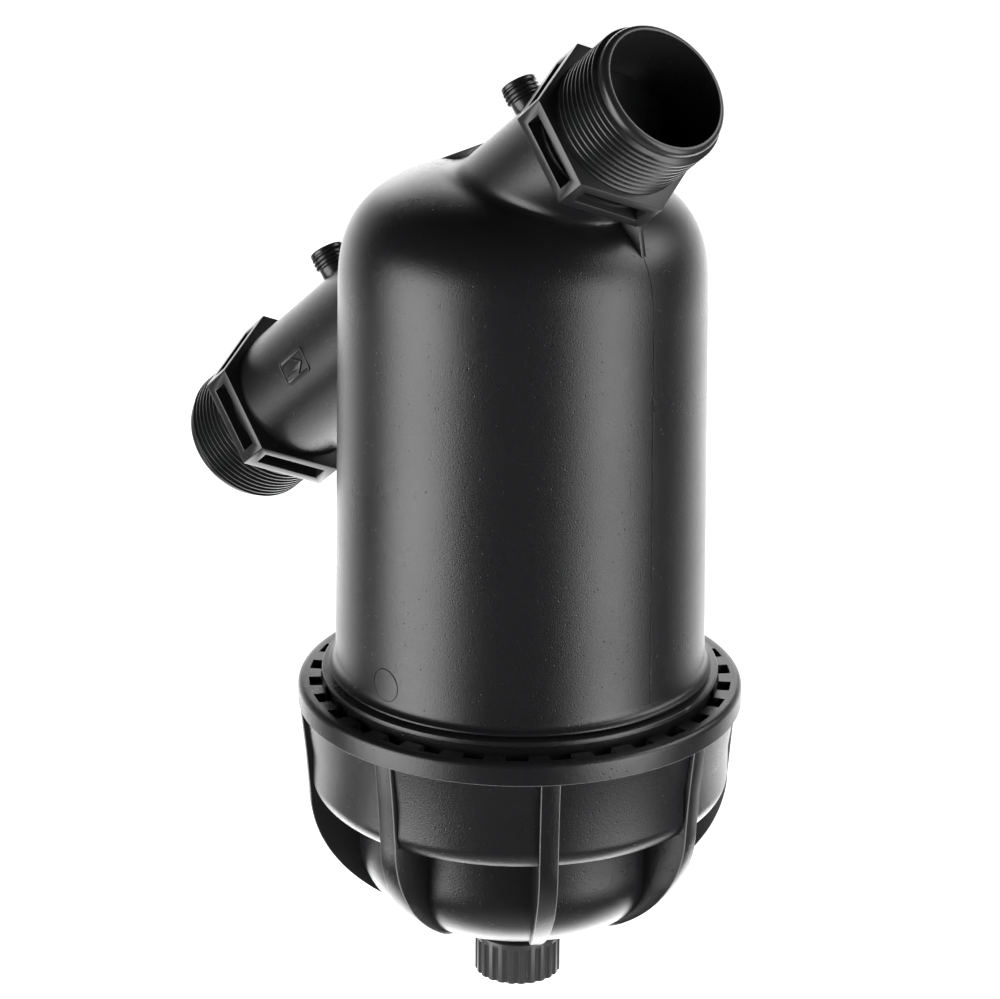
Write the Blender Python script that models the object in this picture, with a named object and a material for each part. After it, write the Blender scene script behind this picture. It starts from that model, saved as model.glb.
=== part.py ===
# Irrigation disc filter, Y pattern, with 1 1/2 inch male threaded ports.
# Metres, +Z up along the barrel. The origin is where the pipe axis crosses the
# barrel axis, and the pipe runs in the XZ plane with its outlet towards +X.

import math

import bmesh
import bpy
import numpy as np
from mathutils import Matrix, Vector

MM = 0.001

# Clearances
SEAT_GAP = 0.3 * MM            # between pieces that seat on or in each other

# Pipe run
PIPE_TILT = math.radians(40.0)  # outlet end rises by this much
BORE_R = 20.1 * MM
NECK_R = 23.6 * MM
THREAD_R = 23.9 * MM           # crest radius of the port thread
LIP_R = 22.3 * MM
LIP_CHAMFER = 0.8 * MM
LEAD_IN = 3.6 * MM             # plain band between thread and mouth
OUTLET_HEX_S = 43.2 * MM       # body-side face, measured along the pipe axis
INLET_HEX_S = 143.0 * MM
HEX_CORNER_R = 29.8 * MM
HEX_THICK = 12.8 * MM
HEX_EDGE_BEVEL = 0.5 * MM
STUB_LENGTH = 25.7 * MM        # thread and lip beyond the hexagon
POCKET_WIDTH = 5.8 * MM
POCKET_END_WALL = 3.6 * MM
POCKET_FLOOR_WALL = 2.7 * MM   # left between pocket floor and bore

# Gauge nipples, on top of each neck
GAUGE_R = 6.1 * MM
GAUGE_NECK_R = 5.2 * MM
GAUGE_HEIGHT = 9.4 * MM        # above the neck of the pipe
GAUGE_NECK_HEIGHT = 2.6 * MM
GAUGE_TAP_R = 1.7 * MM
OUTLET_GAUGE_S = 23.3 * MM
INLET_GAUGE_S = 97.6 * MM

# Barrel
BARREL_TOP_R = 59.6 * MM
BARREL_FOOT_R = 61.1 * MM
BARREL_WALL = 3.6 * MM
DOME_BASE_Z = -31.0 * MM
DOME_RISE = 42.3 * MM
DOME_POWER = 3.13              # roundness of the dome's shoulder
COVER_RIM_Z = -163.9 * MM      # top plane of the cover's rim
FLANGE_R = 65.5 * MM
FLANGE_THICK = 2.0 * MM
FLANGE_LIFT = 3.8 * MM         # flange underside above the cover's rim
FOOT_FILLET = 3.2 * MM
FOOT_LIP_GROOVE = 0.7 * MM
FOOT_THREAD_R = 64.0 * MM
FOOT_LENGTH = 29.0 * MM        # below the cover's rim plane
SEAL_SECTION_R = 1.5 * MM

# Partition that carries the cartridge under the outlet
COLLAR_R = 28.0 * MM
COLLAR_BOTTOM_Z = -33.0 * MM
COLLAR_TOP_Z = 7.5 * MM
RISER_R = 18.2 * MM
RISER_TOP_Z = 2.0 * MM
OUTLET_BORE_END_S = -8.0 * MM
INLET_BORE_END_S = 50.0 * MM
SEAT_R = 24.3 * MM
SEAT_DEPTH = 13.0 * MM

# Gussets in the pipe plane
FRONT_GUSSET_THICK = 3.4 * MM
FRONT_GUSSET_FOOT_X = 55.0 * MM
REAR_GUSSET_THICK = 4.0 * MM
REAR_GUSSET_FOOT_X = -38.0 * MM
REAR_GUSSET_HEAD_S = -2.0 * MM

# Cover: screw ring and bowl in one moulding
RIM_R = 73.5 * MM
RIM_HEIGHT = 5.1 * MM
RIM_ROUND = 2.2 * MM
NOTCH_COUNT = 30
NOTCH_DEPTH = 3.0 * MM
NOTCH_INNER_R = 65.3 * MM
NOTCH_OUTER_R = 68.0 * MM
NOTCH_PHASE = math.radians(7.9)
PANEL_TOP_R = 71.6 * MM
PANEL_FOOT_R = 69.4 * MM
BAND_HEIGHT = 36.6 * MM
BAND_ROUND = 3.4 * MM
SHELF_SLOPE = 3.0 * MM
SHOULDER_DEPTH = 31.0 * MM     # inner step below the rim plane
BOWL_R = 54.0 * MM
BOWL_BASE_DROP = 52.9 * MM
BOWL_DEPTH = 31.2 * MM
BOWL_POWER = 2.47
BOWL_WALL = 3.0 * MM
FIN_COUNT = 8
FIN_THICK = 6.3 * MM
FIN_PHASE = math.radians(-35.6)
FIN_TOP_R = 73.2 * MM
FIN_FOOT_R = 70.3 * MM
FIN_CURVE_DROP = 36.0 * MM
FIN_CURVE_DEPTH = 51.5 * MM
FIN_END_R = 38.0 * MM

# Rests inside the bowl, under the cartridge's stud
REST_COUNT = 4
REST_THICK = 2.4 * MM
REST_DROP = 77.6 * MM          # top edge below the rim plane
REST_INNER_R = 8.6 * MM
REST_OUTER_R = 45.0 * MM

# Drain
DRAIN_BOSS_R = 12.4 * MM
DRAIN_BOSS_END = 90.6 * MM     # below the rim plane
DRAIN_THREAD_R = 10.4 * MM
DRAIN_BORE_R = 6.4 * MM
DRAIN_CAP_R = 14.4 * MM
DRAIN_CAP_TOP = 91.2 * MM
DRAIN_CAP_HEIGHT = 14.6 * MM
DRAIN_CAP_FLOOR = 2.6 * MM
DRAIN_CAP_COLLAR = 2.0 * MM
DRAIN_FLUTES = 24
DRAIN_FLUTE_DEPTH = 0.9 * MM
DRAIN_WASHER_THICK = 2.0 * MM

# Cartridge
SPIGOT_R = SEAT_R - SEAT_GAP
SPIGOT_BORE_R = 18.6 * MM
HEAD_PLATE_R = 45.0 * MM
HEAD_PLATE_THICK = 4.5 * MM
HEAD_PLATE_GAP = 2.4 * MM      # below the collar
SPIGOT_SEAL_R = 1.3 * MM
SPIGOT_SEAL_DROP = 5.0 * MM    # below the spigot's top
DISC_R = 43.0 * MM
DISC_BORE_R = 28.6 * MM
DISC_PACKS = 14
DISC_PACK_GAP = 0.3 * MM
SPINE_LEGS = 6
SPINE_LEG_THICK = 4.0 * MM
SPINE_CORE_R = 6.0 * MM
SPINE_RING_R = 22.0 * MM
SPINE_RING_HEIGHT = 4.0 * MM
STUD_R = 7.8 * MM
CLAMP_PLATE_R = 44.0 * MM
CLAMP_PLATE_THICK = 4.5 * MM
CLAMP_PLATE_DROP = 58.0 * MM   # plate's upper face below the rim plane
KNOB_R = 16.5 * MM
KNOB_WING_R = 26.0 * MM
KNOB_WING_THICK = 5.0 * MM
KNOB_HEIGHT = 7.0 * MM

BODY_SEGMENTS = 44
COVER_SEGMENTS = NOTCH_COUNT * 2
PIPE_SEGMENTS = 32
SMALL_SEGMENTS = 16
DISC_SEGMENTS = 18
HIDDEN_SEGMENTS = 24

# A ring of flat facets is narrower across its flats than across its corners
SPINE_R = DISC_BORE_R * math.cos(math.pi / DISC_SEGMENTS) - SEAT_GAP

PIPE_AXIS = Vector((math.cos(PIPE_TILT), 0.0, math.sin(PIPE_TILT)))
PIPE_UP = Vector((-math.sin(PIPE_TILT), 0.0, math.cos(PIPE_TILT)))


# Scene and material helpers

def clear_scene():
    for old in list(bpy.data.objects):
        bpy.data.objects.remove(old, do_unlink=True)


def plastic(name, colour, roughness):
    material = bpy.data.materials.new(name)
    material.use_nodes = True
    shader = material.node_tree.nodes["Principled BSDF"]
    shader.inputs["Base Color"].default_value = (*colour, 1.0)
    shader.inputs["Roughness"].default_value = roughness
    shader.inputs["Metallic"].default_value = 0.0
    return material


def make_object(name, bm, material=None):
    mesh = bpy.data.meshes.new(name)
    bm.to_mesh(mesh)
    bm.free()
    piece = bpy.data.objects.new(name, mesh)
    bpy.context.scene.collection.objects.link(piece)
    if material:
        mesh.materials.append(material)
    return piece


def finish_piece(piece, name, material):
    piece.name = name
    piece.data.name = name
    piece.data.materials.clear()
    piece.data.materials.append(material)
    piece.data.shade_smooth()
    piece.data.set_sharp_from_angle(angle=math.radians(32.0))
    return piece


def combine(target, tool, operation, solver="EXACT"):
    """Applies one boolean of tool to target and removes the tool."""
    modifier = target.modifiers.new("Boolean", "BOOLEAN")
    modifier.object = tool
    modifier.operation = operation
    modifier.solver = solver
    bpy.context.view_layer.update()
    evaluated = target.evaluated_get(bpy.context.evaluated_depsgraph_get())
    mesh = bpy.data.meshes.new_from_object(evaluated)
    target.modifiers.remove(modifier)
    target.data = mesh
    bpy.data.objects.remove(tool, do_unlink=True)
    return target


def add(target, *tools):
    for tool in tools:
        combine(target, tool, "UNION")
    return target


def cut(target, *tools):
    for tool in tools:
        combine(target, tool, "DIFFERENCE")
    return target


def hollow(target, *tools):
    """Cuts waterways through curved walls, where the exact solver leaves open edges."""
    for tool in tools:
        combine(target, tool, "DIFFERENCE", "MANIFOLD")
    return target


# Shape helpers

def turned(profile, segments, phase=0.0, frame=None):
    """Spins a closed profile of (radius, height) points about the local Z axis."""
    bm = bmesh.new()
    start = Matrix.Rotation(phase, 3, "Z")
    verts = [bm.verts.new(start @ Vector((r, 0.0, z))) for r, z in profile]
    edges = [bm.edges.new((a, b)) for a, b in zip(verts, verts[1:])]
    if all(r > 1e-7 for r, _ in profile):
        edges.append(bm.edges.new((verts[-1], verts[0])))
    bmesh.ops.spin(bm, geom=verts + edges, cent=(0, 0, 0), axis=(0, 0, 1), dvec=(0, 0, 0),
                   angle=math.tau, steps=segments, use_merge=False, use_duplicate=False)
    bmesh.ops.remove_doubles(bm, verts=bm.verts, dist=1e-6)
    bmesh.ops.recalc_face_normals(bm, faces=bm.faces)
    if frame:
        bmesh.ops.transform(bm, matrix=frame, verts=bm.verts)
    return make_object("turned", bm)


def plate(outline, thickness, frame):
    """A flat plate from (x, z) outline points, centred on its own XZ plane."""
    bm = bmesh.new()
    verts = [bm.verts.new((x, -thickness / 2, z)) for x, z in outline]
    face = bm.faces.new(verts)
    pushed = bmesh.ops.extrude_face_region(bm, geom=[face])["geom"]
    moved = [g for g in pushed if isinstance(g, bmesh.types.BMVert)]
    bmesh.ops.translate(bm, vec=(0, thickness, 0), verts=moved)
    bmesh.ops.recalc_face_normals(bm, faces=bm.faces)
    bmesh.ops.transform(bm, matrix=frame, verts=bm.verts)
    return make_object("plate", bm)


def joined(pieces):
    """Puts separate closed shapes into one object, ready for one boolean."""
    bm = bmesh.new()
    for piece in pieces:
        bm.from_mesh(piece.data)
        bpy.data.objects.remove(piece, do_unlink=True)
    return make_object("joined", bm)


def arc(centre_r, centre_z, radius, start, end, count):
    """Profile points round an arc, angles in degrees from the +radius direction."""
    angles = np.radians(np.linspace(start, end, count))
    return [(centre_r + radius * math.cos(a), centre_z + radius * math.sin(a)) for a in angles]


def shoulder_curve(radius, base_z, rise, power, count, inner_r=0.0):
    """A superellipse from the rim inwards; a negative rise turns it into a bowl."""
    stop = math.acos(min(1.0, (inner_r / radius) ** (power / 2)))
    steps = np.linspace(0.0, stop, count)
    return [(radius * math.cos(t) ** (2 / power), base_z + rise * math.sin(t) ** (2 / power))
            for t in steps]


def about_z(angle):
    return Matrix.Rotation(angle, 4, "Z")


def along_pipe(distance, turn_back=False):
    """A frame whose local Z runs along the pipe, outwards at the port."""
    sign = -1.0 if turn_back else 1.0
    axis = PIPE_AXIS * sign
    side = Vector((0.0, 1.0, 0.0))
    up = axis.cross(side)
    frame = Matrix((up, side * 1.0, axis)).transposed().to_4x4()
    if frame.determinant() < 0:
        frame = Matrix((-up, side, axis)).transposed().to_4x4()
    frame.translation = axis * distance
    return frame


# Body moulding

def port_outer(hex_s, back_s, outlet):
    """Neck, hexagon with a pocket in each flat, and threaded stub of one port."""
    thread_end = HEX_THICK + STUB_LENGTH - LEAD_IN
    mouth = HEX_THICK + STUB_LENGTH
    neck = turned([(0.0, mouth), (LIP_R - LIP_CHAMFER, mouth), (LIP_R, mouth - LIP_CHAMFER),
                   (LIP_R, thread_end), (THREAD_R, thread_end - LIP_CHAMFER),
                   (THREAD_R, HEX_THICK / 2), (NECK_R, HEX_THICK / 2),
                   (NECK_R, back_s - hex_s), (0.0, back_s - hex_s)],
                  PIPE_SEGMENTS, phase=math.pi / PIPE_SEGMENTS,
                  frame=along_pipe(hex_s, not outlet))
    return add(neck, hexagon(hex_s, outlet))


def hexagon(hex_s, outlet):
    bm = bmesh.new()
    bmesh.ops.create_cone(bm, cap_ends=True, segments=6, radius1=HEX_CORNER_R,
                          radius2=HEX_CORNER_R, depth=HEX_THICK)
    corner = max(bm.verts, key=lambda v: v.co.x).co
    bmesh.ops.rotate(bm, cent=(0, 0, 0), verts=bm.verts,
                     matrix=Matrix.Rotation(-math.atan2(corner.y, corner.x), 3, "Z"))
    bmesh.ops.translate(bm, vec=(0, 0, HEX_THICK / 2), verts=bm.verts)
    bmesh.ops.bevel(bm, geom=bm.edges[:], offset=HEX_EDGE_BEVEL, segments=1, affect="EDGES")
    bmesh.ops.transform(bm, matrix=along_pipe(hex_s, not outlet), verts=bm.verts)
    nut = make_object("hexagon", bm)
    return cut(nut, joined([pocket(hex_s, outlet, side) for side in range(6)]))


def pocket(hex_s, outlet, side):
    """Cutter for the rectangular pocket in one flat of a hexagon."""
    flat = HEX_CORNER_R * math.cos(math.pi / 6)
    floor = BORE_R + POCKET_FLOOR_WALL
    bm = bmesh.new()
    bmesh.ops.create_cube(bm, size=1.0)
    bmesh.ops.scale(bm, vec=(2 * (flat - floor), HEX_CORNER_R - 2 * POCKET_END_WALL, POCKET_WIDTH),
                    verts=bm.verts)
    bmesh.ops.translate(bm, vec=(flat, 0.0, HEX_THICK / 2), verts=bm.verts)
    turn = along_pipe(hex_s, not outlet) @ about_z(math.pi / 6 + side * math.pi / 3)
    bmesh.ops.transform(bm, matrix=turn, verts=bm.verts)
    return make_object("pocket", bm)


def gauge_frame(along):
    """A frame on the pipe axis whose local Z points up out of the neck."""
    frame = Matrix((PIPE_AXIS, Vector((0, 1, 0)), PIPE_UP)).transposed().to_4x4()
    if frame.determinant() < 0:
        frame = Matrix((PIPE_AXIS, Vector((0, -1, 0)), PIPE_UP)).transposed().to_4x4()
    frame.translation = PIPE_AXIS * along
    return frame


def gauge_nipple(along):
    foot = (BORE_R + NECK_R) / 2
    shoulder = NECK_R + GAUGE_NECK_HEIGHT
    top = NECK_R + GAUGE_HEIGHT
    chamfer = 0.6 * MM
    return turned([(0.0, top), (GAUGE_R - chamfer, top), (GAUGE_R, top - chamfer),
                   (GAUGE_R, shoulder), (GAUGE_NECK_R, shoulder), (GAUGE_NECK_R, foot),
                   (0.0, foot)], SMALL_SEGMENTS, frame=gauge_frame(along))


def gauge_tap(along):
    return rod(GAUGE_TAP_R, BORE_R - GAUGE_NECK_HEIGHT, NECK_R + GAUGE_HEIGHT + MM, 12,
               gauge_frame(along))


def rod(radius, low, high, segments, frame=None):
    return turned([(0.0, high), (radius, high), (radius, low), (0.0, low)], segments,
                  phase=math.pi / segments, frame=frame)


def barrel_outer():
    rim = COVER_RIM_Z
    flange_top = rim + FLANGE_LIFT + FLANGE_THICK
    lip_r = BARREL_FOOT_R + FOOT_FILLET * 0.7
    lip_top = flange_top + 2 * FOOT_LIP_GROOVE
    foot = rim - FOOT_LENGTH
    rebate_z = foot + 2 * (SEAL_SECTION_R + SEAT_GAP)
    rebate_r = FOOT_THREAD_R - 2 * SEAL_SECTION_R - SEAT_GAP
    profile = shoulder_curve(BARREL_TOP_R, DOME_BASE_Z, DOME_RISE, DOME_POWER, 8)[::-1]
    profile += [(BARREL_FOOT_R, lip_top + FOOT_FILLET)]
    profile += [(lip_r, lip_top), (lip_r, flange_top + FOOT_LIP_GROOVE),
                (BARREL_FOOT_R, flange_top), (FLANGE_R, flange_top),
                (FLANGE_R, flange_top - FLANGE_THICK),
                (FOOT_THREAD_R, flange_top - FLANGE_THICK),
                (FOOT_THREAD_R, rebate_z), (rebate_r, rebate_z), (rebate_r, foot), (0.0, foot)]
    return turned(profile, BODY_SEGMENTS)


def barrel_cavity():
    inner_top = BARREL_TOP_R - BARREL_WALL
    inner_foot = BARREL_FOOT_R - BARREL_WALL
    below = COVER_RIM_Z - FOOT_LENGTH - MM
    profile = shoulder_curve(inner_top, DOME_BASE_Z, DOME_RISE - BARREL_WALL, DOME_POWER, 6)[::-1]
    profile += [(inner_foot, COVER_RIM_Z), (inner_foot, below), (0.0, below)]
    return turned(profile, BODY_SEGMENTS)


def partition():
    """Collar and elbow inside the dome that lead the cartridge's bore to the outlet."""
    collar = rod(COLLAR_R, COLLAR_BOTTOM_Z, COLLAR_TOP_Z, PIPE_SEGMENTS)
    elbow = rod(NECK_R - SEAT_GAP, 0.0, OUTLET_HEX_S, PIPE_SEGMENTS, along_pipe(0.0))
    return add(collar, elbow)


def outlet_waterway(port_end):
    """Cutter for the way from the cartridge's seat, up the riser and out of the pipe."""
    riser = turned([(0.0, RISER_TOP_Z), (RISER_R, RISER_TOP_Z),
                    (RISER_R, COLLAR_BOTTOM_Z + SEAT_DEPTH), (SEAT_R, COLLAR_BOTTOM_Z + SEAT_DEPTH),
                    (SEAT_R, COLLAR_BOTTOM_Z - MM), (0.0, COLLAR_BOTTOM_Z - MM)],
                   PIPE_SEGMENTS, phase=math.pi / PIPE_SEGMENTS)
    bore = rod(BORE_R, OUTLET_BORE_END_S, OUTLET_HEX_S + port_end, PIPE_SEGMENTS,
               along_pipe(0.0))
    return add(riser, bore)


def front_gusset():
    corner_s = OUTLET_HEX_S + HEX_EDGE_BEVEL * 2
    corner = PIPE_AXIS * corner_s - PIPE_UP * (HEX_CORNER_R - HEX_EDGE_BEVEL)
    inner = PIPE_AXIS * corner_s - PIPE_UP * (BORE_R + NECK_R) / 2
    back = PIPE_AXIS * (corner_s * 0.6) - PIPE_UP * (BORE_R + NECK_R) / 2
    foot_z = dome_height(FRONT_GUSSET_FOOT_X)
    outline = [(inner.x, inner.z), (corner.x, corner.z), (FRONT_GUSSET_FOOT_X, foot_z),
               (FRONT_GUSSET_FOOT_X - BARREL_WALL, foot_z - BARREL_WALL / 2),
               (back.x, back.z)]
    return plate(outline, FRONT_GUSSET_THICK, Matrix.Identity(4))


def rear_gusset():
    head = PIPE_AXIS * REAR_GUSSET_HEAD_S + PIPE_UP * (NECK_R + MM)
    inner = PIPE_AXIS * REAR_GUSSET_HEAD_S + PIPE_UP * (BORE_R + NECK_R) / 2
    foot_z = dome_height(REAR_GUSSET_FOOT_X)
    outline = [(REAR_GUSSET_FOOT_X, foot_z), (head.x, head.z), (inner.x, inner.z),
               (inner.x - BARREL_WALL, dome_height(inner.x) - BARREL_WALL / 2),
               (REAR_GUSSET_FOOT_X, foot_z - BARREL_WALL / 2)]
    return plate(outline, REAR_GUSSET_THICK, Matrix.Identity(4))


def dome_height(x):
    share = (abs(x) / BARREL_TOP_R) ** DOME_POWER
    return DOME_BASE_Z + DOME_RISE * (1 - share) ** (1 / DOME_POWER)


def filter_body(material):
    body = barrel_outer()
    add(body, port_outer(OUTLET_HEX_S, -14.0 * MM, True),
        port_outer(INLET_HEX_S, 45.0 * MM, False))
    add(body, gauge_nipple(OUTLET_GAUGE_S), gauge_nipple(-INLET_GAUGE_S))
    add(body, front_gusset(), rear_gusset())
    port_end = HEX_THICK + STUB_LENGTH + MM
    hollow(body, barrel_cavity())
    add(body, partition())
    hollow(body, outlet_waterway(port_end),
           rod(BORE_R, INLET_BORE_END_S, INLET_HEX_S + port_end, PIPE_SEGMENTS,
               along_pipe(0.0, True)))
    hollow(body, gauge_tap(OUTLET_GAUGE_S), gauge_tap(-INLET_GAUGE_S))
    return finish_piece(body, "filter_body", material)


def ring_seal(name, centre_r, section_r, z, segments, material):
    """An O-ring with a six-sided section."""
    section = arc(centre_r, z, section_r, 30, 330, 6)
    return finish_piece(turned(section, segments), name, material)


# Cover moulding

def cover_profile():
    rim = COVER_RIM_Z
    bore_r = FOOT_THREAD_R + SEAT_GAP
    shoulder_z = rim - SHOULDER_DEPTH
    band_end = rim - BAND_HEIGHT
    bowl_z = rim - BOWL_BASE_DROP
    boss_z = rim - DRAIN_BOSS_END
    thread_end = drain_thread_end()
    inner_r = BOWL_R - BOWL_WALL
    profile = [(NOTCH_INNER_R, rim), (NOTCH_OUTER_R, rim)]
    profile += arc(RIM_R - RIM_ROUND, rim - RIM_ROUND, RIM_ROUND, 90, 0, 3)
    profile += [(RIM_R, rim - RIM_HEIGHT), (PANEL_TOP_R, rim - RIM_HEIGHT)]
    profile += arc(PANEL_FOOT_R - BAND_ROUND, band_end + BAND_ROUND, BAND_ROUND, 0, -90, 3)
    profile += [(BOWL_R + SHELF_SLOPE, band_end), (BOWL_R, band_end - SHELF_SLOPE)]
    profile += shoulder_curve(BOWL_R, bowl_z, -BOWL_DEPTH, BOWL_POWER, 6, DRAIN_BOSS_R)
    profile += [(DRAIN_BOSS_R, boss_z), (DRAIN_THREAD_R, boss_z), (DRAIN_THREAD_R, thread_end),
                (DRAIN_BORE_R, thread_end)]
    profile += shoulder_curve(inner_r, bowl_z, BOWL_WALL - BOWL_DEPTH, BOWL_POWER, 5,
                              DRAIN_BORE_R)[::-1]
    profile += [(inner_r, shoulder_z - BOWL_WALL), (BARREL_FOOT_R - BARREL_WALL, shoulder_z),
                (bore_r, shoulder_z), (bore_r, rim - NOTCH_DEPTH),
                (NOTCH_INNER_R, rim - NOTCH_DEPTH)]
    return profile


def drain_thread_end():
    floor = COVER_RIM_Z - DRAIN_CAP_TOP - DRAIN_CAP_HEIGHT + DRAIN_CAP_FLOOR
    return floor + DRAIN_WASHER_THICK + 2 * SEAT_GAP


def fin_outline():
    """Outer edge of one deep rib, from inside the rim down to where it meets the bowl."""
    rim = COVER_RIM_Z
    curve_z = rim - FIN_CURVE_DROP
    stop = math.acos(FIN_END_R / FIN_FOOT_R)
    curve = [(FIN_FOOT_R * math.cos(t), curve_z - FIN_CURVE_DEPTH * math.sin(t))
             for t in np.linspace(0.0, stop, 7)]
    inner_r = BOWL_R - BOWL_WALL / 2
    wall = BOWL_WALL / 2
    inner = shoulder_curve(inner_r, rim - BOWL_BASE_DROP, wall - BOWL_DEPTH, BOWL_POWER, 4,
                           FIN_END_R - wall)[::-1]
    return ([(FOOT_THREAD_R + 2 * BOWL_WALL, rim - RIM_HEIGHT / 2),
             (FIN_TOP_R, rim - RIM_HEIGHT / 2)] + curve + inner +
            [(inner_r, rim - SHOULDER_DEPTH - BOWL_WALL),
             (FOOT_THREAD_R + 2 * BOWL_WALL, rim - SHOULDER_DEPTH - BOWL_WALL)])


def rest_outline():
    """One low fin inside the bowl that the cartridge's stud stands on."""
    top = COVER_RIM_Z - REST_DROP
    wall = BOWL_WALL / 2
    bowl_z = COVER_RIM_Z - BOWL_BASE_DROP
    under = shoulder_curve(BOWL_R - wall, bowl_z, wall - BOWL_DEPTH, BOWL_POWER, 8,
                           REST_INNER_R * 0.86)
    under = [(r, z) for r, z in under if z < top - wall and r < REST_OUTER_R]
    return [(REST_INNER_R * 0.86, top), (under[0][0], top)] + under


def notch_ring():
    """Cutter with every slot between the teeth of the rim's inner edge."""
    tools = []
    step = math.tau / NOTCH_COUNT
    length = NOTCH_OUTER_R - FOOT_THREAD_R
    for index in range(NOTCH_COUNT):
        bm = bmesh.new()
        bmesh.ops.create_cube(bm, size=1.0)
        width = NOTCH_OUTER_R * step / 2
        bmesh.ops.scale(bm, vec=(length, width, 2 * NOTCH_DEPTH), verts=bm.verts)
        bmesh.ops.translate(bm, vec=(NOTCH_OUTER_R - length / 2, 0, COVER_RIM_Z), verts=bm.verts)
        bmesh.ops.rotate(bm, cent=(0, 0, 0), verts=bm.verts,
                         matrix=Matrix.Rotation(NOTCH_PHASE + index * step, 3, "Z"))
        tools.append(make_object("notch", bm))
    return joined(tools)


def cover(material):
    shell = turned(cover_profile(), COVER_SEGMENTS, phase=NOTCH_PHASE + math.pi / COVER_SEGMENTS)
    fins = [plate(fin_outline(), FIN_THICK, about_z(FIN_PHASE + math.tau * i / FIN_COUNT))
            for i in range(FIN_COUNT)]
    add(shell, joined(fins))
    rests = [plate(rest_outline(), REST_THICK, about_z(math.tau * (i + 0.5) / REST_COUNT))
             for i in range(REST_COUNT)]
    add(shell, joined(rests))
    cut(shell, notch_ring())
    return finish_piece(shell, "cover", material)


# Drain

def drain_cap(material):
    """Fluted cap: a skin of rings from the centre of its foot, over the rim, to its floor."""
    top = COVER_RIM_Z - DRAIN_CAP_TOP
    bottom = top - DRAIN_CAP_HEIGHT
    floor = bottom + DRAIN_CAP_FLOOR
    bore = DRAIN_THREAD_R + SEAT_GAP
    chamfer = 0.8 * MM
    valley = DRAIN_CAP_R - DRAIN_FLUTE_DEPTH
    rings = [(DRAIN_CAP_R - chamfer, valley - chamfer, bottom),
             (DRAIN_CAP_R, valley, bottom + chamfer),
             (DRAIN_CAP_R, valley, top - DRAIN_CAP_COLLAR),
             (DRAIN_CAP_R, DRAIN_CAP_R, top - DRAIN_CAP_COLLAR),
             (DRAIN_CAP_R, DRAIN_CAP_R, top), (bore, bore, top), (bore, bore, floor)]
    bm = bmesh.new()
    loops = [fluted_ring(bm, *ring) for ring in rings]
    for low, high in zip(loops, loops[1:]):
        bridge(bm, low, high)
    bm.faces.new(loops[0])
    bm.faces.new(loops[-1])
    bmesh.ops.remove_doubles(bm, verts=bm.verts, dist=1e-6)
    bmesh.ops.recalc_face_normals(bm, faces=bm.faces)
    return finish_piece(make_object("drain_cap", bm), "drain_cap", material)


def fluted_ring(bm, crest, valley, z):
    """Two points to a flute: one on the crest and one in the valley."""
    step = math.pi / DRAIN_FLUTES
    radii = [crest, valley] * DRAIN_FLUTES
    return [bm.verts.new((r * math.cos(i * step), r * math.sin(i * step), z))
            for i, r in enumerate(radii)]


def bridge(bm, low, high):
    for i in range(len(low)):
        j = (i + 1) % len(low)
        bm.faces.new((low[i], low[j], high[j], high[i]))


def drain_washer(material):
    low = drain_thread_end() - SEAT_GAP - DRAIN_WASHER_THICK
    high = low + DRAIN_WASHER_THICK
    washer = turned([(DRAIN_BORE_R, high), (DRAIN_THREAD_R, high), (DRAIN_THREAD_R, low),
                     (DRAIN_BORE_R, low)], SMALL_SEGMENTS)
    return finish_piece(washer, "drain_washer", material)


# Cartridge

def head_plate_top():
    return COLLAR_BOTTOM_Z - HEAD_PLATE_GAP


def spigot_top():
    return COLLAR_BOTTOM_Z + SEAT_DEPTH - SEAT_GAP


def cartridge_head(material):
    top = spigot_top()
    plate_top = head_plate_top()
    plate_low = plate_top - HEAD_PLATE_THICK
    seal_z = top - SPIGOT_SEAL_DROP
    groove = SPIGOT_SEAL_R + SEAT_GAP
    groove_r = SPIGOT_R - 2 * SPIGOT_SEAL_R - SEAT_GAP
    chamfer = 0.8 * MM
    profile = [(SPIGOT_BORE_R, top), (SPIGOT_R - chamfer, top), (SPIGOT_R, top - chamfer),
               (SPIGOT_R, seal_z + groove), (groove_r, seal_z + groove),
               (groove_r, seal_z - groove), (SPIGOT_R, seal_z - groove), (SPIGOT_R, plate_top),
               (HEAD_PLATE_R - chamfer, plate_top), (HEAD_PLATE_R, plate_top - chamfer),
               (HEAD_PLATE_R, plate_low), (SPIGOT_BORE_R, plate_low)]
    return finish_piece(turned(profile, HIDDEN_SEGMENTS), "cartridge_head", material)


def spine_top():
    return head_plate_top() - HEAD_PLATE_THICK - SEAT_GAP


def stack_low():
    return COVER_RIM_Z - CLAMP_PLATE_DROP + SEAT_GAP


def stud_end():
    return COVER_RIM_Z - REST_DROP + SEAT_GAP


def cartridge_spine(material):
    """Star-shaped spine: a core, legs that centre the discs, end rings and the stud."""
    top = spine_top()
    low = stack_low()
    spine = rod(SPINE_CORE_R, low + MM, top - SPINE_RING_HEIGHT * 2, 12)
    add(spine, *[half_star(index) for index in range(SPINE_LEGS // 2)])
    ring = turned([(SPINE_RING_R, top), (SPINE_R, top), (SPINE_R, top - 2 * SPINE_RING_HEIGHT),
                   (SPINE_RING_R, top - 2 * SPINE_RING_HEIGHT)], SMALL_SEGMENTS + 4)
    foot = rod(SPINE_R, low, low + SPINE_RING_HEIGHT * 1.5, SMALL_SEGMENTS + 4)
    stud = rod(STUD_R, stud_end(), low + MM, 16)
    add(spine, ring, foot, stud)
    return finish_piece(spine, "cartridge_spine", material)


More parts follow.
